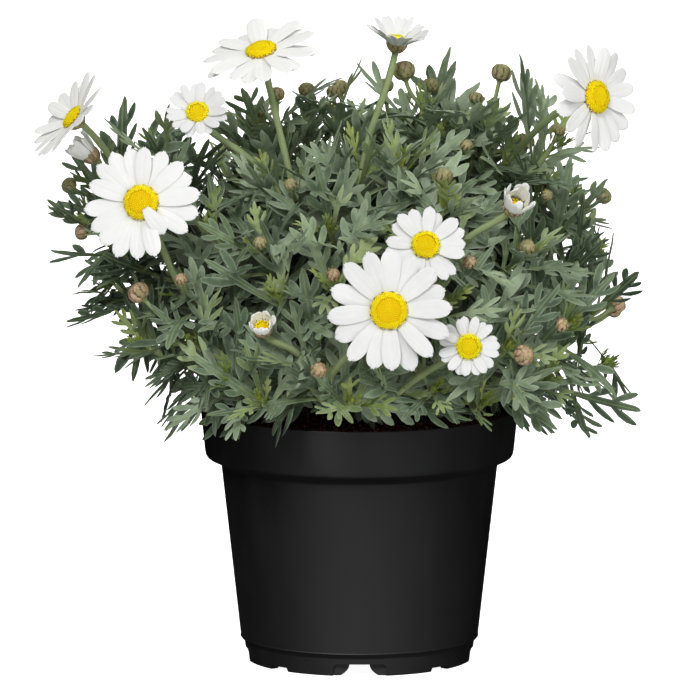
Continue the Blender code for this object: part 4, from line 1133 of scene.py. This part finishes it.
def plan_young(shoot, points):
    """The bright young leaves that stand close together round a shoot's growing tip."""
    draw = random.Random(9000 + shoot)
    plans = []
    for k in range(YOUNG_LEAVES):
        place, way = on_route(points, YOUNG_FOOT + YOUNG_GAP * k)
        sway = draw.uniform(-YOUNG_TURN_SWAY, YOUNG_TURN_SWAY)
        out = swung(*across_axes(way), math.radians(shoot * 67 + k * GOLDEN_TURN + sway))
        sway = draw.uniform(-YOUNG_SPREAD_SWAY, YOUNG_SPREAD_SWAY)
        spread = math.radians(YOUNG_SPREAD + YOUNG_SPREAD_STEP * k + sway)
        sway = draw.uniform(-YOUNG_LENGTH_SWAY, YOUNG_LENGTH_SWAY)
        plans.append(dict(
            place=place + out * (YOUNG_OFFSET + YOUNG_OFFSET_STEP * k),
            way=swung(way, out, spread), face=swung(-out, way, spread),
            length=YOUNG_LENGTH + YOUNG_LENGTH_STEP * k + sway, kind=YOUNG,
            arch=math.radians(draw.uniform(*YOUNG_ARCH)),
            twist=math.radians(draw.uniform(-YOUNG_TWIST, YOUNG_TWIST)), curl=draw.uniform(*YOUNG_CURL),
            youth=max(0.0, 1.0 - YOUTH_FALL * k), age=0.0))
    return plans


# What grows beside the leaves, and must stay free of them: the daisies' faces, their stalks and the closed
# buds. Each bud: across and up in the picture, diameter, branch and shoot
BUDS = [
    (-12, 267, 6.2, 1, 1), (-48, 258, 6.6, 0, 2), (21, 277, 9.4, 10, 1), (67, 276, 8.5, 10, 3),
    (55, 264, 5.8, 10, 0), (94, 249, 5.0, 3, 1), (-32, 222, 5.4, 0, 0), (-46, 195, 5.2, 9, 0),
    (39, 226, 7.6, 2, 2), (50, 241, 4.8, 10, 0), (-137, 223, 6.6, 4, 1), (-131, 201, 6.6, 15, 0),
    (-121, 209, 5.6, 15, 0), (-103, 172, 9.0, 14, 0), (-83, 178, 5.0, 5, 0), (-12, 180, 5.2, 16, 0),
    (-19, 136, 6.6, 6, 0), (88, 218, 4.6, 3, 2), (115, 218, 7.2, 11, 3), (78, 193, 6.6, 8, 1),
    (51, 186, 5.4, 8, 0), (94, 157, 5.4, 11, 0), (121, 167, 8.6, 11, 0), (76, 143, 8.6, 12, 0),
]
BACK_BUD_DIAMETER = 6.8
BACK_BUD_STALK, BACK_BUD_STALK_STEP, BACK_BUD_ASIDE = 17, 4, 6
BUD_PROUD = 16.0
BUD_FOOT_BACK = 1.5
BUD_FOOT_BESIDE_STALK = 10.0
STALK_GAP = 0.45
BRACTS_TOP = 1.25
BRACTS_DEPTH = 2.6
BRACTS_DEPTH_SHARE = 0.36
FACE_DEPTH, BEHIND_FACE = 34.0, 3.0
FACE_SHARE, FACE_MARGIN = 0.98, 0.5
FREE_STALK_FROM = 3
RIM_CLEARANCE = (1.5, 3.6)
STALK_CLEARANCE = 2.8
BUD_CLEARANCE = 1.2
SIGHT_CLEARANCE = 2.0

# Stretches of the rim and of the collar that the leaves leave in sight: from, to and the lowest leaf seen
RIM_IN_SIGHT = ((-26, 6, 108.5), (24, 44, 108.5), (-74, 74, 100.5))

# Points of a leaf that are tried, as shares of its length: along its rib and on its lobes
SAMPLES = [(0, step / 12) for step in range(2, 13)]
SAMPLES += [(side * 0.2, along) for side in (1, -1) for along in (0.6, 0.88)]


def stalk_route(daisy):
    """The middle of a daisy's disc, its face's axes, and the route of its stalk to the cup under it."""
    centre, way = in_view(*daisy.place), direction(*daisy.facing)
    right = UP.cross(way).normalized()
    neck = centre - way * (BRACTS_TOP + BRACTS_DEPTH + daisy.disc * BRACTS_DEPTH_SHARE)
    branch, shoot = daisy.bearer
    foot_point, foot_way = on_route(routes[branch][shoot], 0)
    foot = foot_point + foot_way * STALK_GAP
    arrive = (way + (neck - foot).normalized() * 0.6).normalized()
    return centre, (right, way.cross(right), way), route(foot, foot_way, neck, arrive)


def bud_places():
    """Each closed bud: its branch, its stalk's foot and the way that it leaves, its middle and diameter."""
    places = []
    for across, up, diameter, branch, shoot in BUDS:
        from_tip = BUD_FOOT_BESIDE_STALK if (branch, shoot) in bearers else BUD_FOOT_BACK
        foot, foot_way = on_route(routes[branch][shoot], from_tip)
        places.append((branch, foot, foot_way, on_dome(across, up, BUD_PROUD), diameter))
    for branch in range(len(FRONT_BRANCHES), len(routes)):
        for shoot in (1, 2, 3):
            foot, foot_way = on_route(routes[branch][shoot], BUD_FOOT_BACK)
            middle = foot + foot_way * (BACK_BUD_STALK + BACK_BUD_STALK_STEP * shoot)
            middle += direction(branch * 80 + shoot * 50, 0) * BACK_BUD_ASIDE
            places.append((branch, foot, foot_way, middle, BACK_BUD_DIAMETER))
    return places


stalks = {name: stalk_route(daisy) for name, daisy in DAISIES.items()}
buds = bud_places()


def hides(point, spot):
    """Whether a point of a leaf stands before a spot on a stalk, as the picture shows it."""
    out = point - spot
    nearer = out.dot(back)
    return nearer > 0 and (out - back * nearer).length < SIGHT_CLEARANCE


def is_clear(plan):
    """Whether a leaf stays off the pot, the peat, the space before each daisy, the stalks and the buds."""
    for across, along in SAMPLES:
        point = bend_point(plan, across * plan["length"], along * plan["length"])
        far_out = math.hypot(point.x, point.y)
        over_rim, beside_rim = RIM_CLEARANCE
        if point.z < POT_HEIGHT + over_rim and abs(far_out - RIM_RADIUS + WALL) < beside_rim:
            return False
        if point.z < PEAT_MIDDLE_HEIGHT - 1 and far_out < RIM_RADIUS:
            return False
        seen = seen_height(point)
        if any(left < point.x < right and seen < lowest for left, right, lowest in RIM_IN_SIGHT):
            return False
        for name, (centre, axes, line) in stalks.items():
            out = point - centre
            height = out.dot(axes[2])
            beside = (out - axes[2] * height).length
            free = DAISIES[name].reach * FACE_SHARE + FACE_MARGIN
            if -BEHIND_FACE < height < FACE_DEPTH and beside < free:
                return False
            if any((point - spot).length < STALK_CLEARANCE for spot in line[FREE_STALK_FROM:]):
                return False
            if any(hides(point, spot) for spot in line[len(line) // 2:]):
                return False
        if any((point - middle).length < diameter / 2 + BUD_CLEARANCE for *_, middle, diameter in buds):
            return False
    return True


# A leaf's tone: how far leaves differ at random, and how much darker one is painted when it is old and so
# stands deep inside, far out to the left or right, or low: painted shade where the plant lies in shade
TONE_SPREAD = 0.80
TONE_YOUNG = 0.54
SHADE_BY_AGE = 0.50
SHADE_LEFT, SHADE_RIGHT = 0.85, 0.60
SIDE_SHADE_REACH = 140
LOW_SHADE_FROM, LOW_SHADE_RANGE = 190, 400

shoot_number = 0
for number, shoots in enumerate(routes, 1):
    items = []
    for k, points in enumerate(shoots):
        bears_stalk = (number - 1, k) in bearers
        plans = plan_leaves(shoot_number, points, bears_stalk)
        if not bears_stalk:
            plans += plan_young(shoot_number, points)
        draw = random.Random(8000 + shoot_number)
        for plan in plans:
            tone, variant, breadth = draw.random(), draw.randrange(LEAF_VARIANTS), draw.uniform(0.95, 1.20)
            if not is_clear(plan):
                continue
            place, length, age = plan["place"], plan.pop("length"), plan.pop("age")
            # Painted shade: old leaves deep inside, leaves far out to the sides and low leaves are made
            # darker
            side_shade = (place.x / SIDE_SHADE_REACH) ** 2 * (SHADE_LEFT if place.x < 0 else SHADE_RIGHT)
            low_shade = (LOW_SHADE_FROM - place.z) / LOW_SHADE_RANGE
            tone = TONE_SPREAD * tone + TONE_YOUNG - SHADE_BY_AGE * age - side_shade - low_shade
            size = (length * breadth, length, LEAF_THICKNESS * min(1.0, 0.35 + length / 50))
            plan["kind"] = LEAF_VARIANTS * plan["kind"] + variant
            items.append(growth(size=size, tone=min(1.0, max(0.0, tone)), **plan))
        shoot_number += 1
    leaves = grow(f"leaves_{number:02d}", leaf_set, leaf_look, items, LEAF_WAVE)
    hand_over(leaves, f"branch_{number:02d}")


# A closed bud is a round head of overlapping papery bracts, each green-brown with a dark, dry edge, on a
# ribbed stalk that swells into it.
GREEN_BUDS_ABOVE = 205.0
GREEN_BUD, BROWN_BUD = 0.55, 0.12
BUD_STALK_RADIUS = 0.85
BUD_STEPS = 11
BRACT_THICKNESS = 0.35
BRACT_ARCH = 0.9
BRACT_CURL = 0.5
BRACT_SWAY = 0.08
BRACT_LENGTHS = (0.94, 1.06)
BRACT_LIFT, BRACT_ROW_LIFT = 0.05, 0.09
BUD_BRACT_BREADTH, BUD_BRACT_LENGTH = 0.42, 0.52
BUD_STALK_SWELL = 0.15
BUD_NECK = 1.15
BUD_BODY_FROM, BUD_BODY_TURN = -70, 155
BUD_BODY_HEIGHT, BUD_BODY_WIDTH = 0.98, 0.94

# Whorls of bracts, from the foot up: degrees over the bud's middle, how many, and their share of the length
BUD_WHORLS = ((-58, 8, 0.85), (-30, 9, 1.0), (-2, 8, 0.95), (24, 7, 0.8), (46, 5, 0.72))


def blade_shape(name, rows, columns, half_width, tip_along, relief):
    """A flat blade one unit wide and long, from formulas for its width, its end and its relief."""
    blade = Blade()
    for i in range(rows + 1):
        for j in range(columns + 1):
            v, u = 1 - (1 - i / rows) ** 1.35, 2 * j / columns - 1
            on_edge = j in (0, columns) or i == rows
            y = v * tip_along(u) if i == rows else v * (1 - (1 - tip_along(u)) * v**3)
            near_edge = 1.0 if on_edge else max(abs(u), v) ** 4 * 0.6
            blade.point((i, j), u * half_width(v), y, 0.0 if on_edge else relief(u, v), -0.5, near_edge)
    for i in range(rows):
        for j in range(columns):
            blade.face([(i, j), (i, j + 1), (i + 1, j + 1), (i + 1, j)])
    foot = [blade.numbers[0, j][0] for j in range(columns, -1, -1)]
    blade.faces.append((*foot, *(blade.numbers[0, j][1] for j in range(1, columns))))
    return unit_shape(name, blade.points, blade.edges, blade.faces)


def bract_width(v):
    """Half the width of a bract: broad at its foot, widest at the middle, round at its end."""
    return 0.5 * (0.72 + 0.28 * math.sin(math.pi * min(1.0, v * 1.1))) * math.sqrt(max(0.04, 1 - v**4))


def bract_end(u):
    """How far along a bract's end lies."""
    return 1 - 0.12 * u * u


def bract_relief(u, v):
    """Height of a bract's upper face: lower towards its sides."""
    return 0.5 * (1 - 0.3 * u * u)


bract_set = shape_set("bract_shapes", [
    blade_shape("bract_shape", 4, 4, bract_width, bract_end, bract_relief)])

bract_look, tree, shader = new_material("bract_skin", 0.6, 0.35)
fine, coarse = grained(tree, 2200, 320)
youth, tone, near_edge = (carried(tree, name) for name in ("youth", "tone", "edge"))
brown = ramp(tone * 0.6 + coarse * 0.4, [
    (0.15, (0.25, 0.22, 0.10)), (0.5, (0.50, 0.33, 0.20)), (0.9, (0.66, 0.45, 0.32))])
skin = blend(youth, brown, (0.20, 0.26, 0.09, 1))
skin = blend(between(near_edge, 0.35, 0.95) * 0.85, skin, (0.055, 0.030, 0.016, 1))
finish_look(shader, skin, fine, 0.5, 0.0002)

stalk_skin = stem_look("stalk_skin", 0.55, [
    (0.0, (0.11, 0.16, 0.06)), (0.5, (0.19, 0.26, 0.10)), (1.0, (0.26, 0.34, 0.13))])


def bracts_on(centre, axis, profile, whorls, breadth, length, seed, youth):
    """Bracts in whorls on a round body, whose profile gives radius and height from its centre.

    A whorl gives where on the profile its feet lie, how many there are, and a share of the length.
    """
    draw = random.Random(seed)
    items = []
    for row, (along, count, share) in enumerate(whorls):
        (radius, height), (next_radius, next_height) = profile(along), profile(along + 0.05)
        for i in range(count):
            turn = math.tau * (i + 0.5 * (row % 2) + draw.uniform(-BRACT_SWAY, BRACT_SWAY)) / count + seed
            out = swung(*across_axes(axis), turn)
            way = (out * (next_radius - radius) + axis * (next_height - height)).normalized()
            face = way.cross(out.cross(axis)).normalized()
            if face.dot(out) < 0 and radius > next_radius * 0.2:
                face = -face
            foot = centre + out * (radius + BRACT_LIFT + BRACT_ROW_LIFT * (len(whorls) - row)) + axis * height
            size = (breadth, length * share * draw.uniform(*BRACT_LENGTHS), BRACT_THICKNESS)
            curl = -BRACT_CURL / max(radius, 1.5)
            items.append(growth(foot, way, face, size, 0, BRACT_ARCH, 0.0, curl, youth, draw.random()))
    return items


for number in range(1, len(routes) + 1):
    lines, items = [], []
    for seed, (branch, foot, foot_way, middle, diameter) in enumerate(buds):
        if branch != number - 1:
            continue
        radius = diameter / 2
        way = ((middle - foot).normalized() + foot_way * 0.5 + UP * 0.2).normalized()
        neck = middle - way * radius * BUD_NECK
        line = [(point, BUD_STALK_RADIUS + BUD_STALK_SWELL * i / ROUTE_STEPS, 0.3 + 0.5 * i / ROUTE_STEPS)
                for i, point in enumerate(route(foot - foot_way * 0.5, foot_way, neck, way))]
        for step in range(1, BUD_STEPS + 1):
            rise = math.radians(BUD_BODY_FROM + BUD_BODY_TURN * step / BUD_STEPS)
            spot = middle + way * radius * BUD_BODY_HEIGHT * math.sin(rise)
            line.append((spot, radius * BUD_BODY_WIDTH * math.cos(rise), 0.8))
        lines.append(line)

        def ball(degrees, radius=radius):
            return radius * math.cos(math.radians(degrees)), radius * math.sin(math.radians(degrees))

        items += bracts_on(middle, way, ball, BUD_WHORLS, diameter * BUD_BRACT_BREADTH,
                           diameter * BUD_BRACT_LENGTH, seed,
                           GREEN_BUD if middle.z > GREEN_BUDS_ABOVE else BROWN_BUD)
    if not lines:
        continue
    stalk = made_by(stem_tree, f"bud_stalks_{number:02d}", line_mesh(lines), stalk_skin, {})
    hand_over(stalk, f"branch_{number:02d}")
    scales = grow(f"bud_bracts_{number:02d}", bract_set, bract_look, items)
    hand_over(scales, f"branch_{number:02d}")


# A daisy stands on a bare, ribbed, pale green stalk that widens under the face into a cup, clasped by three
# rows of bracts with brown edges. The stalk and its cup are one growth.
STALK_RADIUS = 1.6
STALK_WAVE = 0.06
CUP_STEPS = 10
CUP_FILL = 0.97
CUP_WHORLS = ((0.05, 11, 0.9), (0.32, 12, 1.0), (0.58, 13, 1.0))
CUP_YOUTH, OPENING_CUP_YOUTH = 0.35, 0.1
OPENING_CUPS = {"opening_01": 4.6, "opening_02": 5.5, "opening_03": 4.4}

# A cup's bracts: the least breadth and length, and what each millimetre of the disc's radius adds
CUP_BRACT_BREADTH, BREADTH_BY_DISC = 1.5, 0.22
CUP_BRACT_LENGTH, LENGTH_BY_DISC = 2.6, 0.35


def cup_profile(disc):
    """Radius and height, from the disc's middle, along a daisy's cup: 0 at its neck and 1 at its rim."""
    depth = BRACTS_DEPTH + disc * BRACTS_DEPTH_SHARE

    def at(share):
        swell = math.sin(math.pi / 2 * min(1.0, share)) ** 0.8
        height = -BRACTS_TOP + 0.5 - depth * (1 - share)
        return STALK_RADIUS + (disc * CUP_FILL - STALK_RADIUS) * swell, height

    return at


for seed, (name, (centre, axes, line)) in enumerate(stalks.items(), 1):
    disc = OPENING_CUPS.get(name, DAISIES[name].disc)
    cup = cup_profile(disc)
    points = []
    for i, point in enumerate(line):
        radius = STALK_RADIUS * (1 + STALK_WAVE * math.sin(i * 0.9 + seed))
        points.append((point, radius, 0.15 + 0.75 * i / ROUTE_STEPS))
    for step in range(1, CUP_STEPS + 1):
        radius, height = cup(step / CUP_STEPS)
        points.append((centre + axes[2] * height, radius * CUP_FILL, 0.9))
    stalk = made_by(stem_tree, f"{name}_stem", line_mesh([points]), stalk_skin, {
        "Rib Depth": 0.035, "Ribs": 7, "Sides": 28})
    hand_over(stalk, f"{name}_stalk")
    items = bracts_on(centre, axes[2], cup, CUP_WHORLS, CUP_BRACT_BREADTH + disc * BREADTH_BY_DISC,
                      CUP_BRACT_LENGTH + disc * LENGTH_BY_DISC, seed,
                      OPENING_CUP_YOUTH if name in OPENING_CUPS else CUP_YOUTH)
    bracts = grow(f"{name}_bracts", bract_set, bract_look, items)
    hand_over(bracts, f"{name}_stalk")


# Petals are the straps of the ray florets: thin, white, with long grooves and a blunt, toothed end. They
# overlap in turn, over and under, and their feet are tucked under the disc.
PLATE_SHARE = 0.70
PETAL_THICKNESS = 0.6
PETAL_WAVE = 1.6
DISC_RISE_SHARE = 0.42

# How petals differ in length and width, as shares, and in rise, twist, curl and droop, in degrees but for
# the curl. Then how uneven a daisy's petals are, against 1 for most, how much lighter their white is painted
# to stand in for light on petals in shade, and the petal that has folded in over the disc
PETAL_LENGTHS, PETAL_WIDTHS = (0.94, 1.05), (0.86, 1.06)
PETAL_RISE, PETAL_TWIST, PETAL_CURL = 4, 12, 0.02
PETAL_DROOP, OPENING_DROOP = (0, 16), (-45, 5)
PETAL_SEAT, LAYER_RISE, LAYER_DROP = 0.25, 1.5, 0.45
UNEVEN = {"bloom_03": 1.5, "bloom_01": 1.2}
PAINTED_PETAL_LIGHT = {"bloom_01": 0.7, "bloom_02": 0.2, "bloom_03": 0.45, "bloom_04": 1.0, "bloom_06": 0.35}
FOLDED_IN = ("bloom_06", 15)
FOLDED_AT, FOLDED_LIFT, FOLDED_LENGTH, FOLDED_RISE = 0.5, 1.0, 0.72, -14

# An opening bud's petals: the radius of the ring that they stand in, and their length
OPENINGS = {"opening_01": (4.0, 6.0), "opening_02": (4.6, 11.0), "opening_03": (3.4, 11.0)}


def groove(u):
    """How deep a petal's grooves are across it: 0 on its ridges and 1 in the grooves."""
    return 0.5 - 0.5 * math.cos(3 * math.pi * (u + 1))


def petal_half_width(v):
    """Half the width of a petal: narrower at its foot, widest at two thirds, round at its end."""
    body = 0.46 + 0.54 * math.sin(math.pi / 2 * min(1.0, v / 0.6))
    return 0.5 * body * math.sqrt(1 - (max(0.0, v - 0.55) / 0.47) ** 3.2)


def petal_end(u):
    """How far along a petal's end lies: round, with shallow notches between blunt teeth."""
    return 1 - 0.05 * u * u - 0.035 * groove(u)


def petal_relief(u, v):
    """Height of a petal's upper face: soft ridges and shallow grooves between them."""
    return 0.5 - 0.24 * groove(u) * min(1.0, v * 5) * (1 - v**6)


petal_set = shape_set("petal_shapes", [
    blade_shape("petal_shape", 10, 12, petal_half_width, petal_end, petal_relief)])

petal_look, tree, shader = new_material("petal_skin", 0.6, 0.25)
_, coarse = grained(tree, 1600, 130)
flat = carried(tree, "flat", "Vector")
white = ramp(coarse, [(0.3, (0.68, 0.685, 0.68)), (0.7, (0.73, 0.73, 0.725))])
# Painted light: the petals of opening buds and of some daisies in shade are blended towards a brighter white
white = blend(carried(tree, "youth"), white, (0.90, 0.90, 0.87, 1))
white = blend(between(split(flat)[1], 0.02, 0.30, 1.0, 0.0) * 0.3, white, (0.72, 0.76, 0.45, 1))
fibres = wire(tree, "ShaderNodeTexWave", {"Vector": flat, "Scale": 5.0, "Distortion": 0.6, "Detail": 1.0},
              output="Fac", bands_direction="X")
finish_look(shader, white, fibres, 0.2, 0.0001)


def dome_height(share, disc):
    """How high a disc stands at a share of its radius: a ring of open florets round a slightly hollow top."""
    ring = 0.92 + 0.10 * math.sin(math.pi * min(1.0, share * 1.15))
    return disc * DISC_RISE_SHARE * (math.sqrt(max(0.0, 1 - (share * 0.97) ** 2)) * ring)


def petal_angles(petals, seed):
    """The directions of a daisy's petals in radians, from those in degrees or from their number."""
    if isinstance(petals, int):
        petals = [360 * (i + 0.2 * math.sin(i * 2.4 + seed)) / petals for i in range(petals)]
    return [math.radians(angle) for angle in petals]


for seed, (name, (centre, axes, _)) in enumerate(stalks.items(), 1):
    daisy = DAISIES[name]
    opening = name in OPENINGS
    foot = daisy.disc * PLATE_SHARE
    foot, reach = OPENINGS.get(name, (foot, daisy.reach - foot))
    uneven = UNEVEN.get(name, 1.0)
    # Opening buds' petals, and those of some daisies, are painted lighter where they lie in shade
    petal_painted_light = 1.0 if opening else PAINTED_PETAL_LIGHT.get(name, 0.0)
    items = []
    for i, angle in enumerate(petal_angles(daisy.petals, seed)):
        draw = random.Random(seed * 100 + i)
        start, length = foot, reach * draw.uniform(*PETAL_LENGTHS)
        rise = math.radians(daisy.cup + draw.uniform(-PETAL_RISE, PETAL_RISE) * uneven)
        droop = math.radians(draw.uniform(*OPENING_DROOP) if opening else draw.uniform(*PETAL_DROOP) * uneven)
        layer = i % 2
        rise += math.radians(LAYER_RISE - 2 * LAYER_RISE * layer)
        out = swung(axes[0], axes[1], angle)
        lift = -PETAL_SEAT - LAYER_DROP * layer
        if (name, i) == FOLDED_IN:
            start, lift = daisy.disc * FOLDED_AT, dome_height(FOLDED_AT, daisy.disc) + FOLDED_LIFT
            length, rise = length * FOLDED_LENGTH, math.radians(FOLDED_RISE)
        size = (daisy.width * draw.uniform(*PETAL_WIDTHS), length, PETAL_THICKNESS)
        twist = math.radians(draw.uniform(-PETAL_TWIST, PETAL_TWIST) * uneven)
        items.append(growth(
            centre + out * start + axes[2] * lift, swung(out, axes[2], rise), swung(axes[2], -out, rise),
            size, 0, droop, twist, draw.uniform(-PETAL_CURL, PETAL_CURL), petal_painted_light, draw.random()))
    rays = grow(f"{name}_rays", petal_set, petal_look, items, PETAL_WAVE * (0.5 if opening else uneven))
    hand_over(rays, f"{name}_petals")


# The disc is a low dome packed with tiny tubular florets in spirals. The outer ones are open, five-pointed
# and stand a little over the petals, and those in the middle are still closed beads.
FLORET_SPACING = 0.88
FLORET_ARCH = 0.02
FLORETS_IN_A_SQUARE = 3.6
DISC_SPREAD = 0.93
DISC_SEAT = 0.6
FLORET_SEAT = 0.5
DOME_FOOT, DOME_RIM, DOME_WIDTH = 0.86, 0.93, 0.92
DOME_SINK = 0.25
DOME_SIDES = 28
DOME_SHARES = (0.98, 0.93, 0.85, 0.74, 0.6, 0.45, 0.3, 0.15)
OPEN_BEYOND = 0.70
SLOPE_STEP = 0.02
SLOPE_SHARE = 0.8
GREENER_INWARD = 0.55

# The height and the breadth of open and of closed florets, and how far they differ
OPEN_SIZE, CLOSED_SIZE = (1.55, 1.15), (0.95, 0.90)
FLORET_HEIGHTS, FLORET_BREADTHS = (0.88, 1.1), (0.90, 1.08)
DISC_NODES = {"opening_02": "opening_02_petals"}
GREENNESS = {"bloom_09": 0.75, "bloom_05": 0.5, "bloom_02": 0.6, "bloom_07": 0.35, "opening_01": 0.3}
USUAL_GREENNESS = 0.12

# A floret's rings, from its foot up: radius, height, and how far its points stand out of the ring
OPEN_FLORET = [(0.20, 0.0, 0), (0.24, 0.62, 0), (0.42, 0.86, 0.55), (0.16, 0.78, 0)]
CLOSED_FLORET = [(0.24, 0.0, 0), (0.40, 0.45, 0), (0.34, 0.82, 0)]


def floret_shape(name, rings, sides, top, top_painted_light):
    """A floret one unit across and high, from its rings: a tube open in five points, or a closed bead."""
    points, edges, faces = [], [], []
    for radius, height, spike in rings:
        for i in range(sides):
            angle = math.tau * i / sides
            is_point = i % 2 == 0
            reach = radius * (1 + (spike if is_point else -spike * 0.6))
            rise = height + (0.16 if spike and is_point else 0)
            points.append((reach * math.cos(angle), rise, reach * math.sin(angle)))
            # The edge value grows with height on the floret: the disc's colour reads it as painted shade low
            # between florets and in open florets' throats
            edges.append(0.9 if spike else height * 0.5)
    points.append((0, top, 0))
    edges.append(top_painted_light)
    faces.append(tuple(range(sides)))
    for first in range(0, sides * (len(rings) - 1), sides):
        for i in range(sides):
            j = (i + 1) % sides
            faces.append((first + j, first + i, first + sides + i, first + sides + j))
    first = sides * (len(rings) - 1)
    faces += [(first + (i + 1) % sides, first + i, len(points) - 1) for i in range(sides)]
    return unit_shape(name, points, edges, faces)


floret_set = shape_set("floret_shapes", [
    floret_shape("floret_0_open", OPEN_FLORET, 10, 0.72, 0.1),
    floret_shape("floret_1_closed", CLOSED_FLORET, 6, 1.0, 0.6)])

disc_look, tree, shader = new_material("disc_gold", 0.65, 0.15)
fine, _ = grained(tree, 2600, 260)
youth, tone, near_edge = (carried(tree, name) for name in ("youth", "tone", "edge"))
# Painted shade: the gold and the lemon go darker and more orange low on each floret, in open florets' throats
# and on the dome between them, with random tone
shade_and_tone = tone * 0.35 + near_edge * 0.6
gold = ramp(shade_and_tone, [(0.0, (0.84, 0.50, 0.002)), (0.25, (1.0, 0.70, 0.002)), (0.8, (1.0, 0.86, 0.006))])
lemon = ramp(shade_and_tone, [(0.0, (0.62, 0.52, 0.002)), (0.25, (0.84, 0.76, 0.003)), (0.8, (0.95, 0.92, 0.012))])
finish_look(shader, blend(youth, gold, lemon), fine, 0.4, 0.0001)

for seed, (name, (centre, axes, _)) in enumerate(stalks.items(), 1):
    if name == "opening_03":
        continue
    disc = DAISIES[name].disc
    greenness = GREENNESS.get(name, USUAL_GREENNESS)
    draw = random.Random(600 + seed)
    count = round((disc / FLORET_SPACING) ** 2 * FLORETS_IN_A_SQUARE)
    items = []
    for i in range(count):
        share = math.sqrt((i + 0.5) / count)
        out = swung(axes[0], axes[1], math.radians(GOLDEN_TURN * i))
        fall = dome_height(min(1.0, share + SLOPE_STEP), disc) - dome_height(share - SLOPE_STEP, disc)
        way = (axes[2] - out * (fall / (2 * SLOPE_STEP * disc)) * SLOPE_SHARE).normalized()
        opened = share > OPEN_BEYOND
        tall, broad = OPEN_SIZE if opened else CLOSED_SIZE
        tall *= draw.uniform(*FLORET_HEIGHTS)
        broad *= draw.uniform(*FLORET_BREADTHS)
        place = centre + out * disc * share * DISC_SPREAD + axes[2] * (dome_height(share, disc) - FLORET_SEAT)
        items.append(growth(
            place, way, way.cross(out).normalized(), (broad, tall, broad), 0 if opened else 1, FLORET_ARCH,
            youth=min(1.0, greenness + GREENER_INWARD * (1 - share)), tone=draw.random()))
    florets = grow(f"{name}_florets", floret_set, disc_look, items)
    hand_over(florets, DISC_NODES.get(name, f"{name}_disc"))
    dome = [(0, -DISC_SEAT), (disc * DOME_FOOT, -DISC_SEAT), (disc * DOME_RIM, 0.0)]
    dome += [(disc * share * DOME_WIDTH, dome_height(share, disc) - DOME_SINK) for share in DOME_SHARES]
    dome.append((0, dome_height(0, disc) - DOME_SINK))
    points, faces = turned(dome, DOME_SIDES)
    places = [in_place(centre + axes[0] * p.x + axes[1] * p.y + axes[2] * p.z) for p in points]
    base = new_object(f"{name}_dome", places, faces, disc_look)
    base.data.shade_smooth()
    hand_over(base, DISC_NODES.get(name, f"{name}_disc"))

for group in (leaf_set, bract_set, petal_set, floret_set):
    for made in list(group.objects):
        bpy.data.objects.remove(made)
    bpy.data.collections.remove(group)
